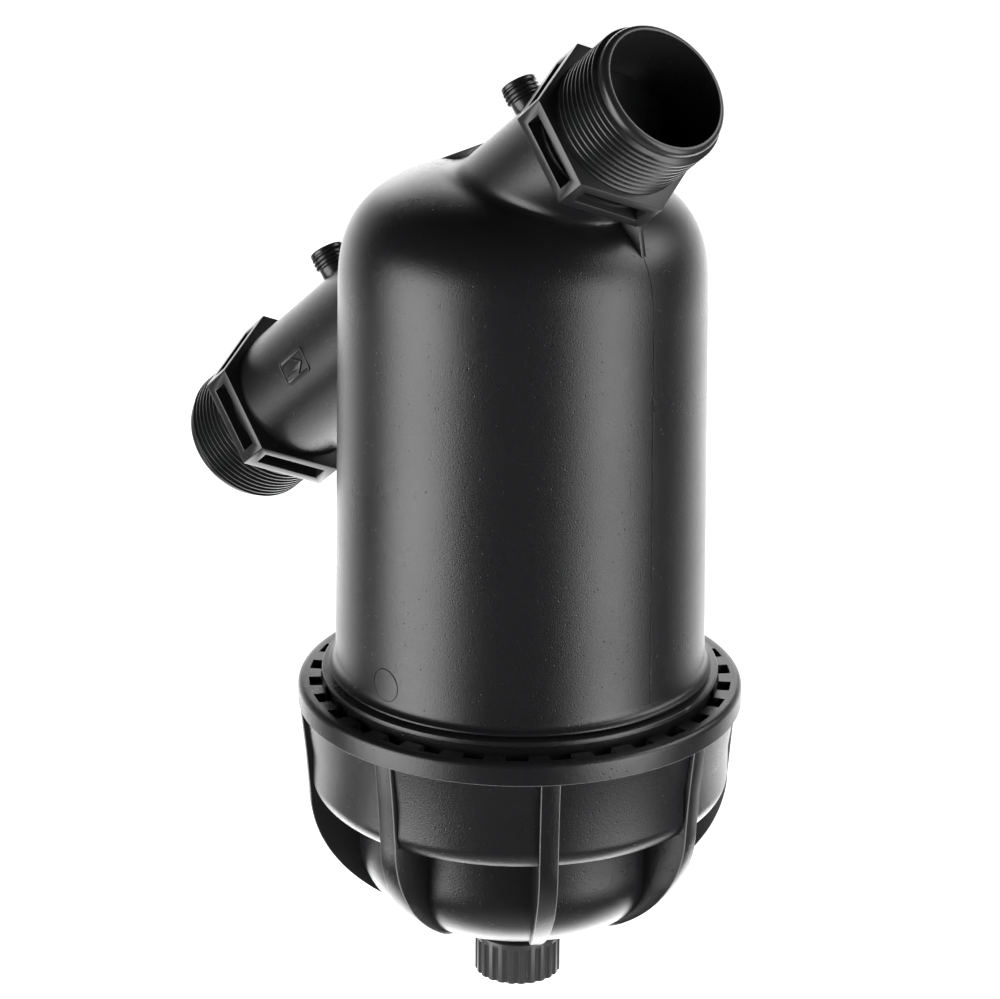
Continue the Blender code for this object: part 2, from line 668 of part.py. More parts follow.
def half_star(index):
    """Two opposite legs in one plate through the core."""
    top = spine_top() - SPINE_RING_HEIGHT
    low = stack_low() + SPINE_RING_HEIGHT
    reach = SPINE_R - SEAT_GAP
    outline = [(-reach, top), (reach, top), (reach, low), (-reach, low)]
    return plate(outline, SPINE_LEG_THICK, about_z(math.tau * (index + 0.25) / SPINE_LEGS))


def disc_pack(number, material):
    """Several grooved discs pressed together, one ring of the stack."""
    top = head_plate_top() - HEAD_PLATE_THICK - SEAT_GAP
    pitch = (top - stack_low()) / DISC_PACKS
    high = top - number * pitch
    low = high - pitch + DISC_PACK_GAP
    pack = turned([(DISC_BORE_R, high), (DISC_R, high), (DISC_R, low), (DISC_BORE_R, low)],
                  DISC_SEGMENTS)
    return finish_piece(pack, f"disc_pack_{number + 1:02d}", material)


def clamp_plate(material):
    top = COVER_RIM_Z - CLAMP_PLATE_DROP
    low = top - CLAMP_PLATE_THICK
    hole = STUD_R + SEAT_GAP
    chamfer = 0.8 * MM
    profile = [(hole, top), (CLAMP_PLATE_R, top), (CLAMP_PLATE_R, low + chamfer),
               (CLAMP_PLATE_R - chamfer, low), (hole, low)]
    return finish_piece(turned(profile, HIDDEN_SEGMENTS), "clamp_plate", material)


def clamp_knob(material):
    top = COVER_RIM_Z - CLAMP_PLATE_DROP - CLAMP_PLATE_THICK - SEAT_GAP
    low = top - KNOB_HEIGHT
    knob = turned([(STUD_R + SEAT_GAP, top), (KNOB_R, top), (KNOB_R - MM, low),
                   (STUD_R + SEAT_GAP, low)], SMALL_SEGMENTS)
    inner = (KNOB_R + STUD_R) / 2
    outline = [(inner, top - MM), (KNOB_WING_R - MM, top - MM), (KNOB_WING_R, top - 2 * MM),
               (KNOB_WING_R - MM, low + MM / 2), (inner, low + MM / 2)]
    wings = [plate(outline, KNOB_WING_THICK, about_z(math.tau * i / 4)) for i in range(4)]
    add(knob, joined(wings))
    return finish_piece(knob, "clamp_knob", material)


def build():
    clear_scene()
    black = plastic("black_moulding", (0.018, 0.018, 0.02), 0.42)
    rubber = plastic("seal_rubber", (0.012, 0.012, 0.012), 0.75)
    disc = plastic("disc_plastic", (0.42, 0.03, 0.025), 0.4)
    white = plastic("spine_plastic", (0.62, 0.62, 0.6), 0.45)

    filter_body(black)
    ring_seal("cover_seal", FOOT_THREAD_R - SEAL_SECTION_R, SEAL_SECTION_R,
              COVER_RIM_Z - FOOT_LENGTH + SEAL_SECTION_R, BODY_SEGMENTS, rubber)
    cover(black)
    drain_cap(black)
    drain_washer(rubber)
    cartridge_head(white)
    ring_seal("cartridge_seal", SPIGOT_R - SPIGOT_SEAL_R, SPIGOT_SEAL_R,
              spigot_top() - SPIGOT_SEAL_DROP, PIPE_SEGMENTS, rubber)
    cartridge_spine(white)
    for number in range(DISC_PACKS):
        disc_pack(number, disc)
    clamp_plate(white)
    clamp_knob(white)


build()
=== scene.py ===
import math

import bpy
import numpy as np
from mathutils import Matrix, Vector


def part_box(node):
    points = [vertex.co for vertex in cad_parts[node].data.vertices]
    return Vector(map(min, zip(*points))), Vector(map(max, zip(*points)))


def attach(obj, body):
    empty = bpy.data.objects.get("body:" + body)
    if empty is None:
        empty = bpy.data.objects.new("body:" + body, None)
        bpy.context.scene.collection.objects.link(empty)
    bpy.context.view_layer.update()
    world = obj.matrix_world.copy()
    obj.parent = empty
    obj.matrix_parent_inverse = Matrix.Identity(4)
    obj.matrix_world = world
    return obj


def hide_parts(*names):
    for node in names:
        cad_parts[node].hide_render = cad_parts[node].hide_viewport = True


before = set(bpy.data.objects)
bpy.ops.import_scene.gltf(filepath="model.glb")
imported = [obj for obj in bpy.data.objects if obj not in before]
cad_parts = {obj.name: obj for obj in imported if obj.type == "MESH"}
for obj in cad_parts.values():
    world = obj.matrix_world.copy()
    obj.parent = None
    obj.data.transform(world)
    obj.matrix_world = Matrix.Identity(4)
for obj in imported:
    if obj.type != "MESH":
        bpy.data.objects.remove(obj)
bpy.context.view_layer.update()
print("frame loaded,", len(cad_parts), "nodes")

mm = 0.001
upward = Vector((0, 0, 1))
pipeTilt = math.radians(40.0)
pipeAlong = Vector((math.cos(pipeTilt), 0, math.sin(pipeTilt)))  # towards the outlet
pipeAbove = Vector((-math.sin(pipeTilt), 0, math.cos(pipeTilt)))
pipeAside = Vector((0, 1, 0))
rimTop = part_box("cover")[1].z / mm        # top plane of the cover's rim
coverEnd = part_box("cover")[0].z / mm
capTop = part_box("drain_cap")[1].z / mm
capBulge = 0.04  # the bevelled face bulges by this much
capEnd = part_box("drain_cap")[0].z / mm + capBulge
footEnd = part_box("cover_seal")[0].z / mm  # lower end of the barrel's foot


# Small helpers for working as by hand

def objectMode():
    if bpy.context.object and bpy.context.object.mode != "OBJECT":
        bpy.ops.object.mode_set(mode="OBJECT")


def cleared():
    objectMode()
    bpy.ops.object.select_all(action="DESELECT")


def selectOnly(*pieces):
    cleared()
    for piece in pieces:
        piece.select_set(True)
    bpy.context.view_layer.objects.active = pieces[0]


def startPiece(name):
    # the primitive just added gets its name, and its place goes into its mesh
    piece = bpy.context.object
    piece.name = piece.data.name = name
    bpy.ops.object.transform_apply(location=True, rotation=True, scale=True)
    return piece


def editAll():
    bpy.ops.object.mode_set(mode="EDIT")
    bpy.ops.mesh.select_mode(type="VERT")
    bpy.ops.mesh.select_all(action="SELECT")


def drawOut(move):
    bpy.ops.mesh.extrude_region_move(TRANSFORM_OT_translate={"value": move})


def closeUp():
    # every face looks outwards, and edit mode is left
    bpy.ops.mesh.select_all(action="SELECT")
    bpy.ops.mesh.normals_make_consistent(inside=False)
    objectMode()


def pickFaces(piece, wanted):
    # leaves edit mode with only the faces selected that pass the test
    bpy.ops.object.mode_set(mode="EDIT")
    bpy.ops.mesh.select_mode(type="FACE")
    bpy.ops.mesh.select_all(action="DESELECT")
    objectMode()
    for face in piece.data.polygons:
        face.select = wanted(face.center, face.normal)
    bpy.ops.object.mode_set(mode="EDIT")


def ringStack(name, rings, points, axis=upward, start=Vector((0, 0, 0)), closed=False):
    # rings are (radius, step along the axis) in mm, each one extruded from the last
    cleared()
    if closed:
        rings = rings + [rings[0]]
    radius, step = rings[0]
    bpy.ops.mesh.primitive_circle_add(vertices=points, radius=radius * mm,
                                      fill_type="NOTHING" if closed else "NGON",
                                      location=start + axis * step * mm,
                                      rotation=axis.to_track_quat("Z", "Y").to_euler())
    piece = startPiece(name)
    editAll()
    for nextRadius, nextStep in rings[1:]:
        drawOut(axis * (nextStep - step) * mm)
        grow = nextRadius / radius
        if abs(grow - 1) > 1e-9:
            bpy.ops.transform.resize(value=(grow, grow, grow),
                                     center_override=start + axis * nextStep * mm)
        radius, step = nextRadius, nextStep
    bpy.ops.mesh.select_all(action="SELECT")
    bpy.ops.mesh.remove_doubles(threshold=1e-6)
    closeUp()
    return piece


def arcRings(centreRadius, centreStep, round, start, end, count):
    angles = [math.radians(start + (end - start) * i / count) for i in range(count + 1)]
    return [(centreRadius + round * math.cos(a), centreStep + round * math.sin(a)) for a in angles]


def evenRings(rings, count):
    # the same line with its points evenly spaced
    line = np.array(rings)
    run = np.concatenate([[0], np.cumsum(np.hypot(*np.diff(line, axis=0).T))])
    at = np.linspace(0, run[-1], count)
    return list(zip(np.interp(at, run, line[:, 0]), np.interp(at, run, line[:, 1])))


def ovalRings(radius, base, rise, power, count, stopRadius):
    # a superellipse from its widest ring inwards, for the dome and the bowl
    stop = math.acos(min(1.0, (stopRadius / radius) ** (power / 2)))
    steps = 2000
    fine = [i / steps * stop for i in range(steps + 1)]
    line = [(radius * math.cos(t) ** (2 / power), base + rise * math.sin(t) ** (2 / power))
            for t in fine]
    return evenRings(line, count)


def useModifier(piece, kind, **settings):
    selectOnly(piece)
    modifier = piece.modifiers.new(kind.title(), kind)
    for key, value in settings.items():
        setattr(modifier, key, value)
    bpy.ops.object.modifier_apply(modifier=modifier.name)
    return piece


def combine(piece, tool, operation="DIFFERENCE"):
    useModifier(piece, "BOOLEAN", object=tool, operation=operation, solver="EXACT")
    bpy.data.objects.remove(tool, do_unlink=True)


def roundEdges(piece, width, angle):
    return useModifier(piece, "BEVEL", width=width * mm, segments=2, limit_method="ANGLE",
                       angle_limit=math.radians(angle), use_clamp_overlap=False)


def joinPieces(*pieces):
    selectOnly(*pieces)
    bpy.ops.object.join()
    return pieces[0]


def copyPiece(piece, name):
    twin = piece.copy()
    twin.data = piece.data.copy()
    twin.name = name
    bpy.context.collection.objects.link(twin)
    return twin


def turnPiece(piece, angle):
    piece.data.transform(Matrix.Rotation(angle, 4, "Z"))
    return piece


def finishPiece(piece, body, material, replaced, angle=30):
    selectOnly(piece)
    bpy.ops.object.transform_apply(location=True, rotation=True, scale=True)
    bpy.ops.object.shade_smooth_by_angle(angle=math.radians(angle))
    piece.data.materials.clear()
    piece.data.materials.append(material)
    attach(piece, body)
    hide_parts(replaced)
    return piece


def finishHousing(piece, finish="blackMoulding", angle=30):
    return finishPiece(piece, "housing", made[finish], "filter_body", angle)


# Materials

def newGroup(name, inputs, outputs):
    # an input holds a number or a colour
    group = bpy.data.node_groups.new(name, "ShaderNodeTree")
    for socket, value in inputs.items():
        kind = "NodeSocketFloat" if isinstance(value, float) else "NodeSocketColor"
        made = group.interface.new_socket(socket, in_out="INPUT", socket_type=kind)
        made.default_value = value
    for socket, kind in outputs.items():
        group.interface.new_socket(socket, in_out="OUTPUT", socket_type=kind)
    return group, group.nodes.new("NodeGroupInput"), group.nodes.new("NodeGroupOutput")


def addNode(tree, kind, settings=None, feeds=None, **values):
    # feeds gives the sockets that lead into the node's inputs
    node = tree.nodes.new("ShaderNode" + kind)
    for key, value in (settings or {}).items():
        setattr(node, key, value)
    for key, value in values.items():
        node.inputs[key.replace("_", " ")].default_value = value
    for socket, source in (feeds or {}).items():
        tree.links.new(source, node.inputs[socket])
    return node


def addMath(tree, operation, first, second):
    feeds = {0: first, 1: second}
    return addNode(tree, "Math", {"operation": operation}, feeds).outputs[0]


def addRange(tree, source, start, end, low=0.0, high=1.0, **settings):
    return addNode(tree, "MapRange", settings, {"Value": source}, From_Min=start, From_Max=end,
                   To_Min=low, To_Max=high).outputs["Result"]


def mouldGrainGroup():
    # fine spark-eroded grain with scattered pits, and slow drifts of gloss
    group, given, made = newGroup("mouldGrain", {
        "Grain Size": 2600.0, "Grain Depth": 0.25, "Pits": 0.5, "Gloss Low": 0.3,
        "Gloss High": 0.42}, {"Roughness": "NodeSocketFloat", "Height": "NodeSocketFloat"})
    where = addNode(group, "TexCoord").outputs["Object"]
    grain = addNode(group, "TexNoise", None,
                    {"Vector": where, "Scale": given.outputs["Grain Size"]},
                    Detail=3.0, Roughness=0.6)
    pits = addNode(group, "TexVoronoi", None, {"Vector": where}, Scale=340.0, Randomness=1.0)
    pitMask = addRange(group, pits.outputs["Distance"], 0.04, 0.14, -1.0, 0.0)
    pitDepth = addMath(group, "MULTIPLY", pitMask, given.outputs["Pits"])
    depth = addMath(group, "MULTIPLY", grain.outputs["Fac"], given.outputs["Grain Depth"])
    drift = addNode(group, "TexNoise", None, {"Vector": where}, Scale=24.0, Detail=4.0,
                    Roughness=0.55)
    gloss = addNode(group, "MapRange", None,
                    {"Value": drift.outputs["Fac"], "To Min": given.outputs["Gloss Low"],
                     "To Max": given.outputs["Gloss High"]}, From_Min=0.3, From_Max=0.7)
    group.links.new(gloss.outputs["Result"], made.inputs["Roughness"])
    group.links.new(addMath(group, "ADD", depth, pitDepth), made.inputs["Height"])
    return group


def edgeWearAndHighlightGroup():
    # pale, nicked arrises: part wear, part a painted highlight that lightens every sharp edge
    group, given, made = newGroup("edgeWearAndHighlight", {
        "Base": (0.018, 0.018, 0.02, 1), "Worn": (0.14, 0.14, 0.145, 1), "Amount": 0.5},
        {"Color": "NodeSocketColor"})
    # painted highlight: sharp edges, found by pointiness, are lightened towards the pale colour,
    # and noise breaks this into chips of wear
    edges = addRange(group, addNode(group, "NewGeometry").outputs["Pointiness"], 0.56, 0.66)
    where = addNode(group, "TexCoord").outputs["Object"]
    chips = addNode(group, "TexNoise", None, {"Vector": where}, Scale=420.0, Detail=3.0,
                    Roughness=0.65)
    broken = addRange(group, chips.outputs["Fac"], 0.42, 0.62)
    mask = addMath(group, "MULTIPLY", edges, broken)
    share = addMath(group, "MULTIPLY", mask, given.outputs["Amount"])
    mix = addNode(group, "Mix", {"data_type": "RGBA"},
                  {"Factor": share, 6: given.outputs["Base"], 7: given.outputs["Worn"]})
    group.links.new(mix.outputs[2], made.inputs["Color"])
    return group


grainGroup = mouldGrainGroup()
wearAndHighlightGroup = edgeWearAndHighlightGroup()

# each finish's pale edge colour and its amount are part wear, part painted highlight on sharp edges
finishes = {
    "blackMoulding": {
        "base": (0.0095, 0.0095, 0.0105), "wornAndHighlight": (0.15, 0.15, 0.155), "wearAndHighlight": 0.7,
        "size": 2100.0, "depth": 0.5, "pits": 0.4, "gloss": (0.26, 0.32), "bump": 0.00017},
    "threadPlastic": {
        "base": (0.014, 0.014, 0.015), "wornAndHighlight": (0.14, 0.14, 0.145), "wearAndHighlight": 0.12,
        "size": 3200.0, "depth": 0.2, "pits": 0.1, "gloss": (0.26, 0.32), "bump": 0.00006},
    "capPlastic": {
        "base": (0.042, 0.042, 0.044), "wornAndHighlight": (0.14, 0.14, 0.145), "wearAndHighlight": 0.3,
        "size": 2600.0, "depth": 0.3, "pits": 0.2, "gloss": (0.32, 0.4), "bump": 0.00006},
    # painted highlight: the pale finish for the thin bright lines along the cover's frame edges
    "paintedHighlightEdge": {
        "base": (0.15, 0.15, 0.155), "wornAndHighlight": (0.2, 0.2, 0.205), "wearAndHighlight": 0.4,
        "size": 1900.0, "depth": 0.4, "pits": 0.5, "gloss": (0.34, 0.46), "bump": 0.00004},
    "sealRubber": {
        "base": (0.01, 0.01, 0.01), "wornAndHighlight": (0.05, 0.05, 0.05), "wearAndHighlight": 0.2,
        "size": 1500.0, "depth": 0.6, "pits": 0.2, "gloss": (0.6, 0.75), "bump": 0.00006},
    "discPlastic": {
        "base": (0.36, 0.022, 0.018), "wornAndHighlight": (0.5, 0.12, 0.1), "wearAndHighlight": 0.4,
        "size": 1800.0, "depth": 0.3, "pits": 0.2, "gloss": (0.35, 0.48), "bump": 0.00005},
    "corePlastic": {
        "base": (0.55, 0.55, 0.53), "wornAndHighlight": (0.75, 0.75, 0.73), "wearAndHighlight": 0.3,
        "size": 1800.0, "depth": 0.3, "pits": 0.2, "gloss": (0.38, 0.5), "bump": 0.00005},
}


plasticIor = 1.49
grooveDepth = 8.0  # of the discs' edges, against the grain's height


def makeFinish(name):
    look = finishes[name]
    material = bpy.data.materials.new(name)
    material.use_nodes = True
    tree = material.node_tree
    shader = tree.nodes["Principled BSDF"]
    shader.inputs["IOR"].default_value = plasticIor
    # pale sharp edges: part wear, part painted highlight
    wearAndHighlight = addNode(tree, "Group", {"node_tree": wearAndHighlightGroup}, Base=(*look["base"], 1),
                   Worn=(*look["wornAndHighlight"], 1), Amount=look["wearAndHighlight"])
    glossLow, glossHigh = look["gloss"]
    grain = addNode(tree, "Group", {"node_tree": grainGroup}, Grain_Size=look["size"],
                    Grain_Depth=look["depth"], Pits=look["pits"], Gloss_Low=glossLow,
                    Gloss_High=glossHigh)
    height = grain.outputs["Height"]
    if name == "discPlastic":
        height = discGrooves(tree, height)
    bump = addNode(tree, "Bump", None, {"Height": height}, Strength=1.0,
                   Distance=look["bump"])
    tree.links.new(wearAndHighlight.outputs["Color"], shader.inputs["Base Color"])
    tree.links.new(grain.outputs["Roughness"], shader.inputs["Roughness"])
    tree.links.new(bump.outputs["Normal"], shader.inputs["Normal"])
    return material


def discGrooves(tree, height):
    # the edges of the single discs in a pack, stacked along Z
    where = addNode(tree, "TexCoord").outputs["Object"]
    bands = addNode(tree, "TexWave", {"bands_direction": "Z"}, {"Vector": where}, Scale=310.0,
                    Distortion=0.0)
    both = addNode(tree, "Math", {"operation": "MULTIPLY_ADD"},
                   {0: bands.outputs["Fac"], 2: height})
    both.inputs[1].default_value = grooveDepth
    return both.outputs[0]


made = {name: makeFinish(name) for name in finishes}
inside = {"cover_seal": "sealRubber", "drain_washer": "sealRubber", "cartridge_seal": "sealRubber",
          "cartridge_head": "corePlastic", "cartridge_spine": "corePlastic",
          "clamp_plate": "corePlastic", "clamp_knob": "corePlastic"}
for name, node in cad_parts.items():
    finish = "discPlastic" if name.startswith("disc_pack") else inside.get(name, "blackMoulding")
    node.data.materials.clear()
    node.data.materials.append(made[finish])
print("finishes made")


# Barrel with its dome and the pipe run through it

barrel = {"points": 256, "topRadius": 59.6, "footRadius": 61.1, "wall": 3.6, "domeBase": -31.0,
          "domeRise": 42.3, "domePower": 3.13, "flangeRadius": 65.5, "flangeLift": 3.8,
          "flangeThick": 2.0, "flangeChamfer": 0.4, "flangeRound": 0.5, "crease": 0.3,
          "fillet": 3.2, "lipRadius": 63.3, "groove": 1.4, "footRadiusOuter": 64.0,
          "footEase": 0.8, "sealStep": 3.3, "sealRise": 3.6, "junctionLow": -98.0,
          "pole": 1.2,  # radius of the flat left at the top of the dome
          "filletRings": 8, "skirtRings": 5, "wallRings": 45, "domeRings": 58}
hollow = {"points": 96, "domeRings": 24, "past": 8.0, "inletStop": -50.0, "below": 1.0}
pipe = {"points": 128, "neckRadius": 23.6, "bore": 20.1, "boreEase": 0.35, "outletHex": 43.2,
        "inletHex": -143.0, "fillet": 4.0, "ringStep": 1.5, "past": 5.0,
        "settleRounds": 12, "probe": 0.01}


def barrelRadius(height):
    share = (height - rimTop) / (barrel["domeBase"] - rimTop)
    return barrel["footRadius"] + (barrel["topRadius"] - barrel["footRadius"]) * share


def barrelSolid():
    flangeTop = rimTop + barrel["flangeLift"] + barrel["flangeThick"]
    lipTop = flangeTop + barrel["groove"]
    lip, foot, flange = barrel["lipRadius"], barrel["footRadiusOuter"], barrel["flangeRadius"]
    low = flangeTop - barrel["flangeThick"]
    land, thread = foot - barrel["sealStep"], foot - barrel["footEase"]
    chamfer, soft, crease = barrel["flangeChamfer"], barrel["flangeRound"], barrel["crease"]
    sealTop = footEnd + barrel["sealRise"]
    grooveRadius = barrelRadius(flangeTop)
    rings = [(land, footEnd), (land, sealTop), (thread, sealTop), (thread, low),
             (flange - chamfer, low), (flange, low + chamfer), (flange, flangeTop - soft)]
    rings += arcRings(flange - soft, flangeTop - soft, soft, 30, 90, 3)
    rings += [(grooveRadius + soft, flangeTop), (grooveRadius, flangeTop + crease),
              (grooveRadius, lipTop - 0.8), (lip - 0.4, lipTop - 0.6), (lip, lipTop - 0.2),
              (lip, lipTop + crease)]
    bend = barrel["fillet"]
    start = lipTop + 0.6
    for i in range(1, barrel["filletRings"] + 1):
        t = math.radians(90 * i / barrel["filletRings"])
        rings.append((lip - (lip - barrelRadius(start + bend)) * math.sin(t),
                      start + bend * (1 - math.cos(t))))
    for i in range(1, barrel["skirtRings"] + 1):
        z = start + bend + (barrel["junctionLow"] - start - bend) * i / barrel["skirtRings"]
        rings.append((barrelRadius(z), z))
    for i in range(1, barrel["wallRings"] + 1):  # closer together where the pipe meets the wall
        rise = barrel["domeBase"] - barrel["junctionLow"]
        z = barrel["junctionLow"] + rise * i / barrel["wallRings"]
        rings.append((barrelRadius(z), z))
    rings += ovalRings(barrel["topRadius"], barrel["domeBase"], barrel["domeRise"],
                       barrel["domePower"], barrel["domeRings"], barrel["pole"])[1:]
    return ringStack("filterBody", rings, barrel["points"])


def pipeSolid():
    low, high = pipe["inletHex"] - pipe["past"], pipe["outletHex"] + pipe["past"]
    count = int((high - low) / pipe["ringStep"])
    rings = [(pipe["neckRadius"], low + (high - low) * i / count) for i in range(count + 1)]
    return ringStack("pipeRun", rings, pipe["points"], pipeAlong)


def surfaceGaps(spots):
    # how far each spot stands off the barrel and off the pipe, both in mm
    x, y, z = spots.T
    a, rise, n = barrel["topRadius"], barrel["domeRise"], barrel["domePower"]
    r = np.hypot(x, y)
    h = np.maximum(z - barrel["domeBase"], 0)
    round = np.maximum((r / a) ** n + (h / rise) ** n, 1e-9)
    level = round ** (1 / n)
    slopeR = (r / a) ** (n - 1) / a * level / round
    slopeH = (h / rise) ** (n - 1) / rise * level / round
    dome = (level - 1) / np.maximum(np.hypot(slopeR, slopeH), 1e-4)
    wall = r - barrelRadius(z)
    toBarrel = np.where(h > 0, dome, wall)
    s = x * pipeAlong.x + z * pipeAlong.z
    off = x * pipeAbove.x + z * pipeAbove.z
    toPipe = np.hypot(off, y) - pipe["neckRadius"]
    return toBarrel, toPipe, s


def blended(spots):
    toBarrel, toPipe, _ = surfaceGaps(spots)
    k = pipe["fillet"]
    share = np.maximum(k - np.abs(toBarrel - toPipe), 0) / k
    return np.minimum(toBarrel, toPipe) - share * share * k / 4


def meshSpots(piece):
    spots = np.empty(len(piece.data.vertices) * 3)
    piece.data.vertices.foreach_get("co", spots)
    return spots.reshape(-1, 3)


def filletJunction(piece):
    # moves the points near the crease out onto the rounded joint of both surfaces
    spots = meshSpots(piece) / mm
    toBarrel, toPipe, s = surfaceGaps(spots)
    near = (np.abs(toBarrel - toPipe) < pipe["fillet"]) & (spots[:, 2] > barrel["junctionLow"])
    near &= (s > pipe["inletHex"]) & (s < pipe["outletHex"])
    moved = spots[near]
    for _ in range(pipe["settleRounds"]):
        level = blended(moved)
        slope = np.stack([(blended(moved + step) - blended(moved - step)) / (2 * pipe["probe"])
                          for step in np.eye(3) * pipe["probe"]], axis=1)
        moved = moved - slope * (level / np.maximum((slope ** 2).sum(1), 0.05))[:, None]
    spots[near] = moved
    piece.data.vertices.foreach_set("co", (spots * mm).ravel())
    piece.data.update()


def hollowBody(piece):
    wall, past, points = barrel["wall"], hollow["past"], hollow["points"]
    inner = [(barrel["footRadius"] - wall, footEnd - hollow["below"]),
             (barrel["footRadius"] - wall, rimTop)]
    inner += ovalRings(barrel["topRadius"] - wall, barrel["domeBase"], barrel["domeRise"] - wall,
                       barrel["domePower"], hollow["domeRings"], barrel["pole"])
    combine(piece, ringStack("inner", inner, points))
    wide = pipe["bore"] + pipe["boreEase"]
    for low, high in ((-past, pipe["outletHex"] + past),
                      (pipe["inletHex"] - past, hollow["inletStop"])):
        combine(piece, ringStack("bore", [(wide, low), (wide, high)], points, pipeAlong))


def buildBody():
    body = barrelSolid()
    combine(body, pipeSolid(), "UNION")
    filletJunction(body)
    hollowBody(body)
    return finishHousing(body, angle=40)


buildBody()
print("body made")


# Elbow inside the dome that leads the cartridge's bore to the outlet

elbow = {"points": 96, "radius": 28.0, "low": -33.0, "high": 7.0, "seat": 24.3, "seatTop": -20.0,
         "riser": 18.2, "riserTop": 2.0, "runInset": 0.6, "boreEase": 0.1, "boreStart": -8.0,
         "past": 1.0}


def buildElbow():
    points, past, hexFace = elbow["points"], elbow["past"], pipe["outletHex"]
    run, bore = pipe["neckRadius"] - elbow["runInset"], pipe["bore"] + elbow["boreEase"]
    seat, riser = elbow["seat"], elbow["riser"]
    collar = ringStack("outletElbow", [(elbow["radius"], elbow["low"]),
                                       (elbow["radius"], elbow["high"])], points)
    combine(collar, ringStack("run", [(run, 0.0), (run, hexFace)], points, pipeAlong), "UNION")
    combine(collar, ringStack("bore", [(bore, elbow["boreStart"]), (bore, hexFace + past)],
                              points, pipeAlong))
    combine(collar, ringStack("riser", [(seat, elbow["low"] - past), (seat, elbow["seatTop"]),
                                        (riser, elbow["seatTop"] + 0.01),
                                        (riser, elbow["riserTop"])], points))
    return finishHousing(collar)


buildElbow()
print("elbow made")


# Threads, wound from one tooth

def windThread(name, tooth, pitch, turns, steps, fade, start, axis):
    # tooth is (root radius, crest radius, root width, crest width) in mm, and its height
    # grows and fades over the part of a turn that fade gives
    root, crest, rootWidth, crestWidth = tooth
    cleared()
    bpy.ops.mesh.primitive_plane_add(size=1)
    ridge = startPiece(name)
    corners = [(root, -rootWidth / 2), (crest, -crestWidth / 2), (crest, crestWidth / 2),
               (root, rootWidth / 2)]
    for vert, (r, z) in zip([ridge.data.vertices[i] for i in ridge.data.polygons[0].vertices],
                            corners):
        vert.co = (r * mm, 0, z * mm)
    editAll()
    bpy.ops.mesh.delete(type="ONLY_FACE")
    objectMode()
    useModifier(ridge, "SCREW", angle=math.tau * turns, screw_offset=pitch * turns * mm,
                steps=int(steps * turns), render_steps=int(steps * turns), axis="Z",
                use_merge_vertices=False, use_normal_calculate=True)
    spots = meshSpots(ridge)
    r = np.hypot(spots[:, 0], spots[:, 1])
    turn = np.clip(spots[:, 2] / mm / (pitch * turns), 0, 1) * turns
    leastHeight = 0.02
    ease = np.clip(np.minimum(turn, turns - turn) / fade, leastHeight, 1)
    newRadius = root * mm + (r - root * mm) * ease
    spots[:, :2] *= (newRadius / r)[:, None]
    ridge.data.vertices.foreach_set("co", spots.ravel())
    editAll()
    bpy.ops.mesh.select_all(action="DESELECT")
    bpy.ops.mesh.select_non_manifold()
    bpy.ops.mesh.fill_holes(sides=4)
    closeUp()
    turned = axis.to_track_quat("Z", "Y").to_matrix().to_4x4()
    ridge.data.transform(Matrix.Translation(start) @ turned)
    return ridge


# Ports: pocketed hexagon, threaded stub and lip

port = {"hexCorner": 29.8, "hexThick": 12.8, "frameWidth": 3.5, "pocketDepth": 6.0, "edge": 0.35,
        "stub": 25.7, "coreRadius": 22.3, "rootRadius": 22.45, "crestRadius": 23.9, "pitch": 2.309,
        "rootWidth": 2.25, "crestWidth": 0.45, "rootSunk": 0.25, "threadSteps": 96, "fade": 0.35,
        "underHex": 0.9, "lipRadius": 22.55, "lipRound": 1.95, "mouthEdge": 0.35, "leadIn": 3.4,
        "inHex": 0.5, "points": 128}


def buildHexagon(name, hexFace, outward):
    cleared()
    centre = pipeAlong * hexFace * mm + outward * port["hexThick"] / 2 * mm
    bpy.ops.mesh.primitive_cylinder_add(vertices=6, radius=port["hexCorner"] * mm,
                                        depth=port["hexThick"] * mm, location=centre)
    nut = startPiece(name)
    corner = max(nut.data.vertices, key=lambda v: v.co.x).co - centre
    spin = Matrix.Rotation(-math.atan2(corner.y, corner.x), 4, "Z")
    axes = Matrix((pipeAbove, pipeAside, pipeAbove.cross(pipeAside))).transposed().to_4x4()
    nut.data.transform(Matrix.Translation(centre) @ axes @ spin @ Matrix.Translation(-centre))
    pickFaces(nut, lambda centre, normal: abs(normal.dot(outward)) < 0.1)  # the six sides
    bpy.ops.mesh.inset(thickness=port["frameWidth"] * mm, use_individual=True)
    bpy.ops.mesh.extrude_region_shrink_fatten(
        TRANSFORM_OT_shrink_fatten={"value": -port["pocketDepth"] * mm})
    objectMode()
    roundEdges(nut, port["edge"], 40)
    return nut


def buildPort(name, hexFace, outward):
    start = pipeAlong * hexFace * mm
    bore, core, root, lip = pipe["bore"], port["coreRadius"], port["rootRadius"], port["lipRadius"]
    hexThick, soft, edge = port["hexThick"], port["lipRound"], port["mouthEdge"]
    mouth = hexThick + port["stub"]
    threadEnd = mouth - port["leadIn"]
    rings = [(bore, -port["inHex"]), (core, -port["inHex"]), (core, hexThick),
             (root, hexThick + 0.1), (root, threadEnd - 0.6), (lip, threadEnd)]
    rings += arcRings(lip - soft, mouth - soft, soft, 0, 90, 6)
    rings += arcRings(bore + edge, mouth - edge, edge, 90, 180, 3)
    stub = ringStack(name, rings, port["points"], outward, start, closed=True)
    turns = (port["stub"] - port["leadIn"] + port["underHex"]) / port["pitch"]
    tooth = (root - port["rootSunk"], port["crestRadius"], port["rootWidth"], port["crestWidth"])
    ridge = windThread(name + "Thread", tooth, port["pitch"], turns, port["threadSteps"],
                       port["fade"], start + outward * (hexThick - port["underHex"]) * mm, outward)
    joinPieces(stub, buildHexagon(name + "Hex", hexFace, outward), ridge)
    return finishHousing(stub, "threadPlastic", 32)


buildPort("outletPort", pipe["outletHex"], pipeAlong)
buildPort("inletPort", pipe["inletHex"], -pipeAlong)
print("ports made")


# Gauge nipples on top of the necks

